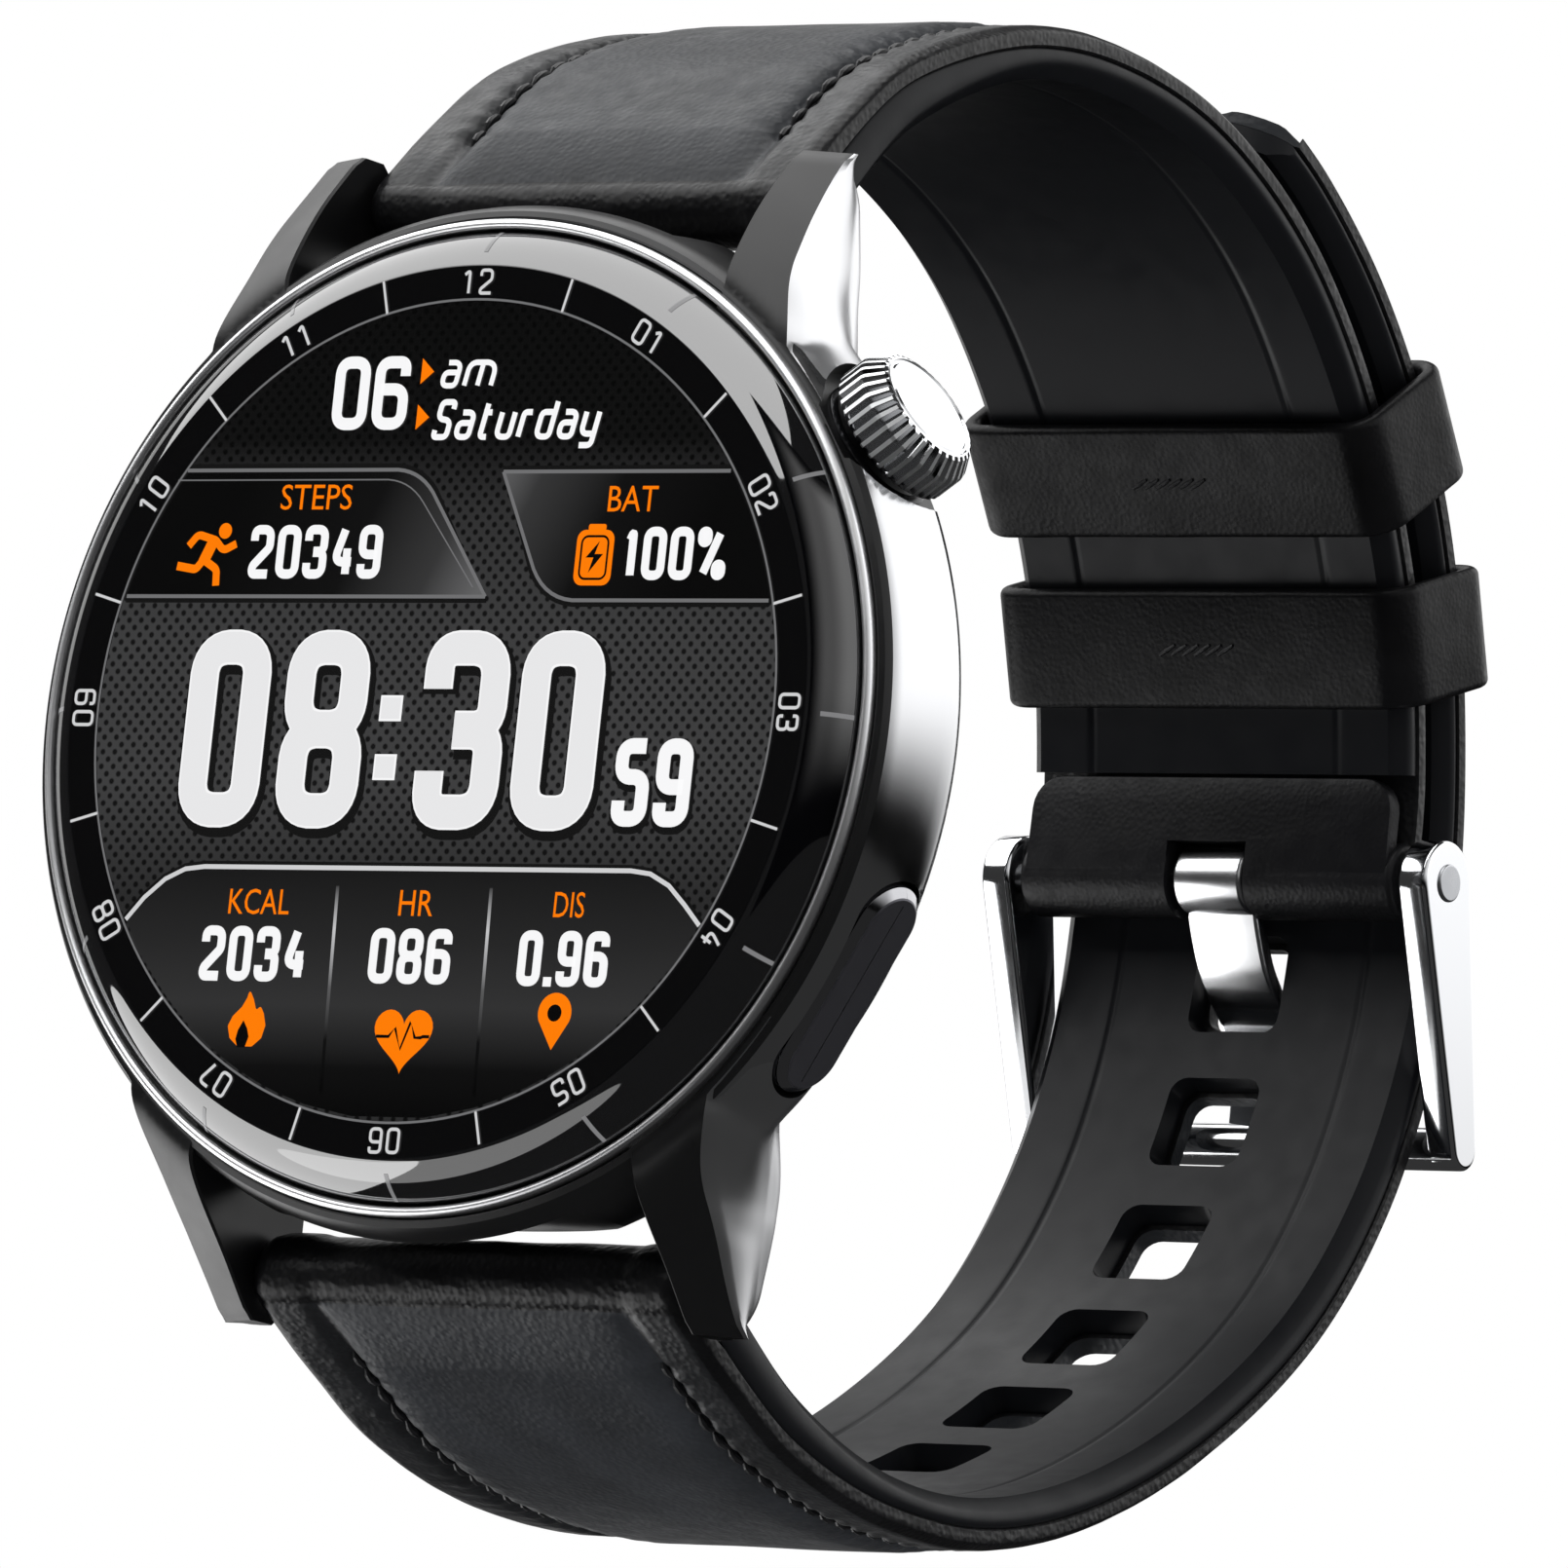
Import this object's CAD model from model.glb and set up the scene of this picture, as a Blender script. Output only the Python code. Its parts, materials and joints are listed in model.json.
"""Round smartwatch on a buckled leather and rubber strap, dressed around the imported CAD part.

Lengths are in millimetres until a mesh is made, and the frame is the part's own: +X is the crown side,
+Y points from the dial into the wrist, +Z points to 12 o'clock, and the origin is on the caseback.
"""
import json
import math

import bmesh
import bpy
import numpy as np
from mathutils import Matrix, Vector, noise


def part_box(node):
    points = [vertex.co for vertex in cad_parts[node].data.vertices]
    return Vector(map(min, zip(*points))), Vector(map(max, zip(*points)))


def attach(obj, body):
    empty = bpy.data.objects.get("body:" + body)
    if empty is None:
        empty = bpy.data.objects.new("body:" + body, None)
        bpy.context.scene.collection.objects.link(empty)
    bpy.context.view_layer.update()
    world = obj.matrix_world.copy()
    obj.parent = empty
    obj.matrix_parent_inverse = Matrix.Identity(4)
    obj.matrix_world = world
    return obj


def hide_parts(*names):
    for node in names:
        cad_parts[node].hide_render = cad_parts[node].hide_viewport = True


MM = 0.001
TURN = 2 * math.pi

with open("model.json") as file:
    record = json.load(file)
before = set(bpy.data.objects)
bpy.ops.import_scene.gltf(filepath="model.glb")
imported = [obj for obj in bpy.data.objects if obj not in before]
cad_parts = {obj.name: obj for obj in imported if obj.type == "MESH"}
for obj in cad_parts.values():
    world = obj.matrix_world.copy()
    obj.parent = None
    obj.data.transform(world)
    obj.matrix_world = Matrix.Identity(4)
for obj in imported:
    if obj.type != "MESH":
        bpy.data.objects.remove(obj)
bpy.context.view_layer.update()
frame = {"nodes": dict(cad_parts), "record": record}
nodes = frame["nodes"]

# ---------------------------------------------------------------- the part's driving dimensions
CASE_FRONT_Y = -9.3
CASE_BACK_Y = -1.7
CASE_EDGE_R = 21.7
CASE_R = 22.4
GLASS_TOP_Y = -11.0
GLASS_FLAT_R = 18.95
GLASS_R = 20.5
RING_IN_R = 20.8
RING_OUT_R = 21.15
CONTROL_Y = -5.9
CROWN_ANGLE = math.radians(34.5)
BUTTON_ANGLE = math.radians(-29.5)
CROWN_IN = 21.9
CROWN_R = 3.2
BUTTON_FACE = 22.15
BUTTON_LENGTH = 9.9
BUTTON_WIDTH = 3.7
LUG_IN_X = 11.35
LUG_FROM_Z = 12.4
LUG_TIP_Z = 24.95
LUG_SHIFT = 0.55
SLOT_FACE_Z = 20.7
BAR_Y = -2.7
BAR_Z = 23.0
ROLL_R = 1.8
BACK_COVER_R = 18.8
WELL_RING_R = 17.3
WINDOW_R = 7.5

HALF_W_LUG = 11.0
HALF_W_BACK = 10.0
THICK_LUG = 3.2
THICK_BACK = 2.15
TAIL_THICK = 1.9
LEATHER_T = 0.85
BAND_END = -0.3
CHANNEL_INSET = 3.0
GROOVE_INSET = 3.5
STITCH_STEP = 1.15
HOLE_PITCH = 6.7
HOLE_SIZE = (4.1, 3.8)
HOLES_BEFORE, HOLES_AFTER = 5, 2
BUCKLE_Y = 49.35
BUCKLE_Z = 3.0
FAR_BAR_Y = 52.9
FAR_BAR_Z = -8.4
ARM_IN_X = HALF_W_BACK + 0.4
FLAP_TOP_Z = 7.4
BUCKLE_SIDE_Y = 40  # beyond this the straps are on the buckle's side of the loop
SEGMENTS = 256
OUTSIDE_X = 26  # where a tool drawn along +X is well clear of the case

SHORT_POINTS = [(0.2, 23.6), (4.6, 27.9), (12.5, 31.6), (20.5, 32.3), (28.5, 30.9), (36, 27.1), (42, 21),
                (45.9, 14), (47.6, 7.5), (47.75, 3)]
LONG_POINTS = [(0.4, -22.9), (6, -26.3), (13, -28.4), (20.5, -28.5), (28.5, -26.5), (36.6, -22.6),
               (43.7, -17.2), (48.3, -11), (50.8, -4.4), (51.5, 2), (51.1, 8), (49.4, 15), (46.3, 21.3),
               (41.5, 26.9), (36, 30.9), (30.5, 33.4)]
TONGUE_POINTS = [(49.6, 1.9), (50.15, 0.7), (51, -0.7), (52.2, -1.9), (53.6, -3.1), (54.5, -4.9),
                 (54.75, -7.2), (54.55, -9.9)]


# ---------------------------------------------------------------- small helpers
def smooth(value, low, high):
    t = min(max((value - low) / (high - low), 0.0), 1.0)
    return t * t * (3 - 2 * t)


def mix(a, b, t):
    return a + (b - a) * t


def bump(value, centre, width):
    return math.exp(-(((value - centre) / width) ** 2))


def wobble(x, y, z=0.0):
    return noise.noise(Vector((x, y, z)))


def arc(cx, cy, r, start, end, count):
    """Points of a circular arc, angles in degrees."""
    angles = [math.radians(mix(start, end, k / count)) for k in range(count + 1)]
    return [(cx + r * math.cos(a), cy + r * math.sin(a)) for a in angles]


def circle(cx, cy, r, count):
    return arc(cx, cy, r, 0, 360 - 360 / count, count - 1)


def rounded_rect(w, h, r, count=8):
    x, y = w / 2 - r, h / 2 - r
    points = []
    for cx, cy, start in ((x, y, 0), (-x, y, 90), (-x, -y, 180), (x, -y, 270)):
        points += arc(cx, cy, r, start, start + 90, count)
    return points


def shrink(points, amount):
    """Moves each point of a closed counter-clockwise outline inwards along its normal."""
    made = []
    for k, (x, y) in enumerate(points):
        px, py = points[k - 1]
        nx, ny = points[(k + 1) % len(points)]
        tx, ty = nx - px, ny - py
        size = math.hypot(tx, ty) or 1.0
        made.append((x - amount * ty / size, y + amount * tx / size))
    return made


def fillet(points, radius, closed=False):
    """Rounds a polyline's corners."""
    made = []
    count = len(points)
    for k, p in enumerate(points):
        if not closed and k in (0, count - 1):
            made.append(p)
            continue
        p = np.array(p, float)
        a = np.array(points[k - 1], float) - p
        b = np.array(points[(k + 1) % count], float) - p
        la, lb = np.linalg.norm(a), np.linalg.norm(b)
        a, b = a / la, b / lb
        angle = math.acos(max(-1, min(1, float(a @ b))))
        cut = min(radius / max(math.tan(angle / 2), 1e-3), la * 0.48, lb * 0.48)
        start, end = p + a * cut, p + b * cut
        pull = p * 0.85 + (start + end) / 2 * 0.15
        for t in (j / 7 for j in range(8)):
            made.append(tuple((1 - t) ** 2 * start + 2 * t * (1 - t) * pull + t * t * end))
    return made


# ---------------------------------------------------------------- materials
def material(name, color, roughness, metallic=0.0, **sockets):
    """A Principled material; extra sockets are given by name with _ for a space."""
    made = bpy.data.materials.new(name)
    made.use_nodes = True
    shader = made.node_tree.nodes["Principled BSDF"]
    shader.inputs["Base Color"].default_value = (*color, 1)
    shader.inputs["Roughness"].default_value = roughness
    shader.inputs["Metallic"].default_value = metallic
    for key, value in sockets.items():
        shader.inputs[key.replace("_", " ")].default_value = value
    made.diffuse_color = (*color, 1)
    return made


def object_coords(tree):
    return tree.nodes.new("ShaderNodeTexCoord").outputs["Object"]


def color_ramp(tree, stops):
    """A colour ramp whose stops are (position, colour)."""
    ramp = tree.nodes.new("ShaderNodeValToRGB")
    elements = ramp.color_ramp.elements
    while len(elements) < len(stops):
        elements.new(0.5)
    for element, (position, color) in zip(elements, stops):
        element.position = position
        element.color = (*color, 1)
    return ramp


def map_range(tree, **sockets):
    span = tree.nodes.new("ShaderNodeMapRange")
    for key, value in sockets.items():
        span.inputs[key.replace("_", " ")].default_value = value
    return span


def noise_node(tree, scale, detail=4.0):
    node = tree.nodes.new("ShaderNodeTexNoise")
    node.inputs["Scale"].default_value = scale
    node.inputs["Detail"].default_value = detail
    tree.links.new(object_coords(tree), node.inputs["Vector"])
    return node.outputs["Fac"]


def vary_color(made, dark, light, scale):
    """Lets the base colour drift between two tones."""
    tree = made.node_tree
    ramp = color_ramp(tree, [(0.3, dark), (0.7, light)])
    tree.links.new(noise_node(tree, scale, 3.0), ramp.inputs["Fac"])
    tree.links.new(ramp.outputs["Color"], tree.nodes["Principled BSDF"].inputs["Base Color"])


def vary_roughness(made, low, high, scale):
    tree = made.node_tree
    span = map_range(tree, From_Min=0.3, From_Max=0.7, To_Min=low, To_Max=high)
    tree.links.new(noise_node(tree, scale), span.inputs["Value"])
    tree.links.new(span.outputs["Result"], tree.nodes["Principled BSDF"].inputs["Roughness"])


def add_bump(made, height, strength, distance_mm):
    """Adds one more layer of relief under the ones that are already there."""
    tree = made.node_tree
    node = tree.nodes.new("ShaderNodeBump")
    node.inputs["Strength"].default_value = strength
    node.inputs["Distance"].default_value = distance_mm * MM
    shader = tree.nodes["Principled BSDF"]
    old = shader.inputs["Normal"].links
    if old:
        tree.links.new(old[0].from_socket, node.inputs["Normal"])
    tree.links.new(height, node.inputs["Height"])
    tree.links.new(node.outputs["Normal"], shader.inputs["Normal"])


def cell_height(tree, scale):
    """Leather pebbles: the distance to the edge of each cell."""
    node = tree.nodes.new("ShaderNodeTexVoronoi")
    node.feature = "SMOOTH_F1"
    node.inputs["Scale"].default_value = scale
    node.inputs["Smoothness"].default_value = 0.6
    tree.links.new(object_coords(tree), node.inputs["Vector"])
    return node.outputs["Distance"]


def leather(name, dark, light, roughness, pebble_mm, depth_mm, sheen, shine, lump_mm):
    made = material(name, light, roughness, Specular_IOR_Level=shine, Sheen_Weight=sheen, Sheen_Roughness=0.4)
    vary_color(made, dark, light, 220)
    vary_roughness(made, roughness - 0.06, roughness + 0.08, 900)
    tree = made.node_tree
    add_bump(made, noise_node(tree, 260, 5), 0.35, lump_mm)
    add_bump(made, cell_height(tree, 1000 / pebble_mm), 0.6, depth_mm)
    return made


def surface(name, color, roughness, metallic=0.0, tones=None, wear=None, grain=None, **sockets):
    """A material with its small changes over the surface.

    tones is (dark, light, noise scale) of the colour, wear (lowest, highest, noise scale) of the roughness,
    and grain (noise scale, detail, strength, depth in mm) of the relief.
    """
    made = material(name, color, roughness, metallic, **sockets)
    if tones:
        vary_color(made, *tones)
    if wear:
        vary_roughness(made, *wear)
    if grain:
        scale, detail, strength, depth = grain
        add_bump(made, noise_node(made.node_tree, scale, detail), strength, depth)
    return made


def lit(name, color):
    """A display colour: it shines by itself through the glossy glass."""
    return material(name, (0.001, 0.001, 0.001), 0.06, Emission_Color=(*color, 1), Emission_Strength=1.0)


def emitter(name, strength, vertex_colors=None):
    """A plain light-giving surface, white or in the mesh's own vertex colours."""
    made = bpy.data.materials.new(name)
    made.use_nodes = True
    tree = made.node_tree
    tree.nodes.clear()
    shine = tree.nodes.new("ShaderNodeEmission")
    shine.inputs["Color"].default_value = (1, 1, 1, 1)
    shine.inputs["Strength"].default_value = strength
    if vertex_colors:
        source = tree.nodes.new("ShaderNodeVertexColor")
        source.layer_name = vertex_colors
        tree.links.new(source.outputs["Color"], shine.inputs["Color"])
    out = tree.nodes.new("ShaderNodeOutputMaterial")
    tree.links.new(shine.outputs["Emission"], out.inputs["Surface"])
    return made


LEATHER_PANEL = leather("leather_charcoal", (0.014, 0.0155, 0.018), (0.023, 0.0255, 0.030),
                        0.42, 0.30, 0.05, 0.04, 0.22, 0.06)
LEATHER_EDGE = leather("leather_black", (0.003, 0.003, 0.0035), (0.007, 0.007, 0.008),
                       0.38, 0.30, 0.05, 0.0, 0.28, 0.06)
LEATHER_STRIP = leather("leather_strip", (0.007, 0.0075, 0.0085), (0.013, 0.014, 0.016),
                        0.40, 0.30, 0.05, 0.03, 0.32, 0.06)
LEATHER_KEEPER = leather("leather_gloss", (0.003, 0.003, 0.0033), (0.006, 0.006, 0.0068),
                         0.38, 0.22, 0.02, 0.0, 0.12, 0.02)
LEATHER_FLAP = leather("leather_flap", (0.005, 0.005, 0.0057), (0.009, 0.009, 0.0105),
                       0.42, 0.22, 0.025, 0.0, 0.2, 0.02)
RUBBER = surface("strap_rubber_black", (0.0065, 0.007, 0.0085), 0.38, wear=(0.33, 0.42, 700),
                 grain=(5200, 2, 0.12, 0.02), Specular_IOR_Level=0.13)
THREAD = surface("black_thread", (0.006, 0.006, 0.007), 0.42,
                 tones=((0.003, 0.003, 0.004), (0.014, 0.014, 0.016), 2600), grain=(6000, 2, 0.5, 0.04))

CASE_BLACK = surface("case_satin_black", (0.006, 0.006, 0.0065), 0.34, 0.1, wear=(0.31, 0.37, 600),
                     grain=(9000, 2, 0.05, 0.01))
CASE_SIDE = surface("case_polished_side", (0.68, 0.685, 0.70), 0.14, 1.0, wear=(0.12, 0.16, 350))
CHROME = surface("polished_chrome", (0.86, 0.87, 0.89), 0.1, 1.0, wear=(0.08, 0.12, 500))
RIB_STEEL = surface("brushed_rib_steel", (0.9, 0.91, 0.92), 0.46, 1.0)
BEZEL = surface("bezel_bright", (0.95, 0.955, 0.97), 0.36, 1.0, wear=(0.34, 0.39, 500))
LUG_SIDE = surface("lug_polished_side", (0.74, 0.745, 0.76), 0.3, 1.0, wear=(0.28, 0.33, 350))
TONGUE_STEEL = surface("tongue_bright_steel", (0.88, 0.885, 0.90), 0.24, 1.0, wear=(0.21, 0.27, 600))
STEEL = surface("turned_steel", (0.5, 0.51, 0.53), 0.28, 1.0, wear=(0.22, 0.36, 900))
BUTTON_SATIN = surface("button_satin_grey", (0.115, 0.115, 0.13), 0.34, 0.85, wear=(0.3, 0.38, 1200))
BUTTON_EDGE = surface("button_polished_edge", (0.45, 0.45, 0.47), 0.12, 1.0, wear=(0.1, 0.15, 700))
DARK_METAL = surface("dark_collar", (0.02, 0.02, 0.022), 0.25, 0.8, wear=(0.2, 0.3, 700))
GLASS_BLACK = surface("black_glass", (0.002, 0.002, 0.0025), 0.03, wear=(0.02, 0.04, 120), IOR=1.55,
                      Coat_Weight=0.6, Coat_Roughness=0.02)
GLASS_EDGE = surface("black_glass_edge", (0.002, 0.002, 0.0025), 0.03, wear=(0.02, 0.04, 120), IOR=2.4)
PLASTIC_DARK = surface("moulded_plastic", (0.016, 0.016, 0.018), 0.42, grain=(7000, 2, 0.15, 0.02))
BACK_GLOSS = surface("back_gloss_plastic", (0.01, 0.01, 0.012), 0.16, wear=(0.13, 0.2, 300), Coat_Weight=0.3)
BOARD_GREEN = surface("circuit_green", (0.02, 0.10, 0.045), 0.4,
                      tones=((0.012, 0.07, 0.03), (0.03, 0.13, 0.06), 900))
FOIL = surface("battery_foil", (0.62, 0.63, 0.66), 0.3, 0.9, grain=(500, 3, 0.3, 0.1))
GOLD = surface("gold_contact", (0.83, 0.60, 0.22), 0.2, 1.0, wear=(0.16, 0.26, 900))
SEAL = surface("seal_rubber_black", (0.015, 0.015, 0.015), 0.6, wear=(0.5, 0.7, 900))

SCREEN_WHITE = lit("screen_white", (0.93, 0.93, 0.94))
SCREEN_DIGIT = lit("screen_digit", (0.80, 0.80, 0.81))
SCREEN_LINE = lit("screen_line", (0.62, 0.62, 0.63))
SCREEN_GREY = lit("screen_grey", (0.16, 0.16, 0.165))
SCREEN_FAINT = lit("screen_faint", (0.20, 0.20, 0.205))
SCREEN_ORANGE = lit("screen_orange", (1.0, 0.205, 0.0))
SCREEN_BLACK = lit("screen_black", (0.001, 0.001, 0.0012))
SCREEN_SHADOW = lit("screen_shadow", (0.006, 0.006, 0.006))

SLOT_MATERIALS = {
    "case_black": CASE_BLACK, "bezel_chrome": BEZEL, "cover_glass": GLASS_BLACK, "seal_rubber": SEAL,
    "screen": SCREEN_BLACK, "inner_steel": STEEL, "circuit_board": BOARD_GREEN, "foil": FOIL,
    "inner_plastic": PLASTIC_DARK, "back_plastic": BACK_GLOSS, "contact_gold": GOLD, "crown_chrome": CHROME,
    "button_grey": BUTTON_SATIN, "strap_rubber": RUBBER, "strap_leather": LEATHER_PANEL,
    "keeper_leather": LEATHER_KEEPER, "buckle_chrome": CHROME,
}
for part in frame["record"]["subparts"]:
    mesh = nodes[part["node"]].data
    mesh.materials.clear()
    mesh.materials.append(SLOT_MATERIALS[part["material_slot"]])


# ---------------------------------------------------------------- mesh builders
def link_object(name, data):
    made = bpy.data.objects.new(name, data)
    bpy.context.scene.collection.objects.link(made)
    return made


def ride(piece, body, slot, *replaced):
    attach(piece, body)
    if replaced:
        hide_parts(*replaced)


def add_piece(name, verts, faces, mats, body=None, slot=None, face_mats=None, sharp=32.0, replaces=()):
    """A mesh piece from millimetre vertices, riding on a body unless it is a tool or still to be cut."""
    data = bpy.data.meshes.new(name)
    data.from_pydata([(x * MM, y * MM, z * MM) for x, y, z in verts], [], faces)
    for made in mats:
        data.materials.append(made)
    if face_mats is not None:
        data.polygons.foreach_set("material_index", face_mats)
    piece = link_object(name, data)
    finish_mesh(piece, sharp)
    if body:
        ride(piece, body, slot, *replaces)
    return piece


def finish_mesh(piece, sharp, recalc=True):
    if recalc:
        work = bmesh.new()
        work.from_mesh(piece.data)
        bmesh.ops.recalc_face_normals(work, faces=work.faces)
        work.to_mesh(piece.data)
        work.free()
    piece.data.shade_smooth()
    piece.data.set_sharp_from_angle(angle=math.radians(sharp))
    piece.data.update()


def grid_faces(rows, cols, close_rows=False, close_cols=False):
    faces = []
    for i in range(rows if close_rows else rows - 1):
        for j in range(cols if close_cols else cols - 1):
            here, above = i * cols, (i + 1) % rows * cols
            right = (j + 1) % cols
            faces.append((here + j, here + right, above + right, above + j))
    return faces


def tube_faces(rows, cols, first=0):
    """Faces of a tube through rings of cols points, with a cap on each end."""
    faces = grid_faces(rows, cols, close_cols=True)
    faces += [tuple(range(cols)), tuple(range((rows - 1) * cols, rows * cols))]
    return [tuple(first + v for v in face) for face in faces]


def loft(name, rings, mats, body=None, slot=None, close=False, **more):
    """A tube through rings of equal length, capped with two flat ends or closed on itself."""
    rows, cols = len(rings), len(rings[0])
    verts = [p for ring in rings for p in ring]
    faces = grid_faces(rows, cols, True, True) if close else tube_faces(rows, cols)
    piece = add_piece(name, verts, faces, mats, body, slot, **more)
    if not close:
        for face in list(piece.data.polygons)[-2:]:
            face.use_smooth = False
    return piece


def lathe(name, profile, mats, body=None, slot=None, segments=SEGMENTS, **more):
    """A piece turned about the watch's axis from [radius, Y] points; points on the axis become one vertex."""
    verts, rows = [], []
    for r, y in profile:
        first = len(verts)
        if r == 0:
            rows.append([first] * segments)
            verts.append((0, y, 0))
        else:
            rows.append(list(range(first, first + segments)))
            verts += [(x, y, z) for x, z in circle(0, 0, r, segments)]
    faces = []
    closed = profile[0][0] > 0
    for low, high in zip(rows, rows[1:] + rows[:1] if closed else rows[1:]):
        for k in range(segments):
            n = (k + 1) % segments
            face = tuple(dict.fromkeys((low[k], low[n], high[n], high[k])))
            if len(face) > 2:
                faces.append(face)
    return add_piece(name, verts, faces, mats, body, slot, **more)


def turned_at(name, x, z, profile, mats, body=None, slot=None, **more):
    """A piece turned about a line along Y through (x, z)."""
    rings = [[(px, y, pz) for px, pz in circle(x, z, r, 40)] for r, y in profile]
    return loft(name, rings, mats, body, slot, **more)


def prism_x(name, outline, x0, x1):
    """A cutting tool, its outline in (Y, Z), along X."""
    verts = [(x, y, z) for x in (x0, x1) for y, z in outline]
    return add_piece(name, verts, tube_faces(2, len(outline)), [CASE_BLACK])


def box_tool(xs, ys, zs):
    verts = [(x, y, z) for x in xs for y in ys for z in zs]
    faces = [(0, 1, 3, 2), (4, 6, 7, 5), (0, 4, 5, 1), (2, 3, 7, 6), (0, 2, 6, 4), (1, 5, 7, 3)]
    return add_piece("box_tool", verts, faces, [LEATHER_FLAP])


def boolean(target, tool, operation="DIFFERENCE"):
    """Applies one exact boolean and deletes the tool."""
    modifier = target.modifiers.new("cut", "BOOLEAN")
    modifier.object = tool
    modifier.operation = operation
    modifier.solver = "EXACT"
    depsgraph = bpy.context.evaluated_depsgraph_get()
    data = bpy.data.meshes.new_from_object(target.evaluated_get(depsgraph))
    target.modifiers.clear()
    old = target.data
    target.data = data
    bpy.data.meshes.remove(old)
    bpy.data.objects.remove(tool)


def turn_about_axis(piece, angle):
    """Turns the mesh of a piece drawn along +X to a control's place round the case."""
    piece.data.transform(Matrix.Rotation(-angle, 4, "Y"))
    piece.data.update()


def paint(piece, finish):
    """Gives each face the material number that finish(centre in mm, normal) names."""
    numbers = [finish(face.center / MM, face.normal) for face in piece.data.polygons]
    piece.data.polygons.foreach_set("material_index", numbers)


# ---------------------------------------------------------------- case
SHOULDER = [(CASE_EDGE_R - 0.1, -9.22), (CASE_EDGE_R + 0.12, -8.95)]
CASE_SIDE_LINE = [(22.0, -8.3), (22.22, -7.5), (22.36, -6.6), (CASE_R, -5.8), (22.32, -5.0), (22.0, -4.2),
                  (21.4, -3.3), (20.6, -2.4), (19.9, CASE_BACK_Y)]


def side_radius(y):
    """The round case's radius at a height, between its front shoulder and its back."""
    line = SHOULDER + CASE_SIDE_LINE
    for (r0, y0), (r1, y1) in zip(line, line[1:]):
        if y0 <= y <= y1:
            return mix(r0, r1, (y - y0) / (y1 - y0))
    return line[0][0] if y < line[0][1] else line[-1][0]


def lug_front(x, z, shift):
    """Height of a lug's front face: it falls away like a cone outside the round case."""
    out = max(math.hypot(x, z) - CASE_EDGE_R - 0.1, 0.0)
    return CASE_FRONT_Y + 0.03 + out * out / (out + 1.25) * 1.04 + shift * smooth(out, 0, 4)


def lug_out_x(z):
    """The lug's outer side, seen from the front."""
    return mix(15.0, 14.1, smooth(z, 15.5, 19.8)) - 0.55 * smooth(z, 19, 24.8)


def lug_section(z, shift):
    """One cross-section of a lug as [X, Y]: its front, its outer side, then its back."""
    end = smooth(z, LUG_TIP_Z - 0.5, LUG_TIP_Z)
    rise = smooth(z, LUG_FROM_Z, 15.5)
    own_side = z > 14
    inner_x = mix(10.4, LUG_IN_X, smooth(z, 15, 19))
    round_edge = math.sqrt(max(CASE_EDGE_R ** 2 - z * z, 0.0)) - 0.05
    edge_x = max(lug_out_x(z) if own_side else 0.0, round_edge)
    y_back = mix(-1.6, -1.2 + shift, smooth(z, 15, 19)) - 1.5 * max(0.0, (z - 22.8) / 2.2) ** 2
    front = [mix(inner_x + 0.12, edge_x - 0.12, k / 8) for k in range(9)]
    front = [(x, lug_front(x, z, shift) + 0.22 * end) for x in front]
    side = []
    foot_x = edge_x - mix(1.6, 0.85, smooth(z, 15, 20))
    belly = mix(0.9, 0.25, smooth(z, 16, 21))
    for t in (k / 14 for k in range(1, 15)):
        y = mix(front[-1][1] + 0.14, y_back - 0.45, t)
        lean = mix(edge_x, foot_x, t) + belly * math.sin(math.pi * min(t * 1.15, 1))
        round_x = math.sqrt(max(side_radius(y) ** 2 - z * z, 0.0)) + 0.02 * rise - 0.15 * (1 - rise)
        blend = 0.2 * rise * math.exp(-abs(lean - round_x) / 0.6) * smooth(t, 0.0, 0.25)
        side.append(((max(lean, round_x) if own_side else round_x) + blend, y))
    x_back = side[-1][0]
    back = [(x_back - 0.22, y_back - 0.12), (x_back - 0.6, y_back), (inner_x + 0.2, y_back),
            (inner_x, y_back - 0.2)]
    return [(inner_x, front[0][1] + 0.12)] + front + side + back


def lug_rings(sx, sz):
    """Cross-sections of one lug, from inside the case to its tip."""
    stations = [LUG_FROM_Z + 12.1 * k / 44 for k in range(45)] + [LUG_TIP_Z - 0.2, LUG_TIP_Z]
    return [[(sx * x, y, sz * z) for x, y in lug_section(z, -LUG_SHIFT * sz)] for z in stations]


def pill(grow=0.0):
    """The button's outline in (Y, Z) about the controls' axis, its length along Z."""
    w, h = BUTTON_WIDTH + grow, BUTTON_LENGTH + grow
    return [(CONTROL_Y + y, z) for y, z in rounded_rect(w, h, w / 2 - 0.01, 14)]


def case_finish(centre, normal):
    """The case's side is polished, all but the front and the parts between the lugs."""
    x, y, z = centre
    side = math.hypot(x, z) > CASE_EDGE_R - 0.2 and normal.y > -0.45 and y > -9.15
    return 1 if side and abs(x) > LUG_IN_X + 0.15 else 0


def lug_finish(centre, normal):
    """A lug is polished outside and behind, black in front and within."""
    outward = normal.x * math.copysign(1, centre.x)
    return 2 if outward > 0.55 or (normal.y > 0.35 and outward > -0.5) else 0


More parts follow.
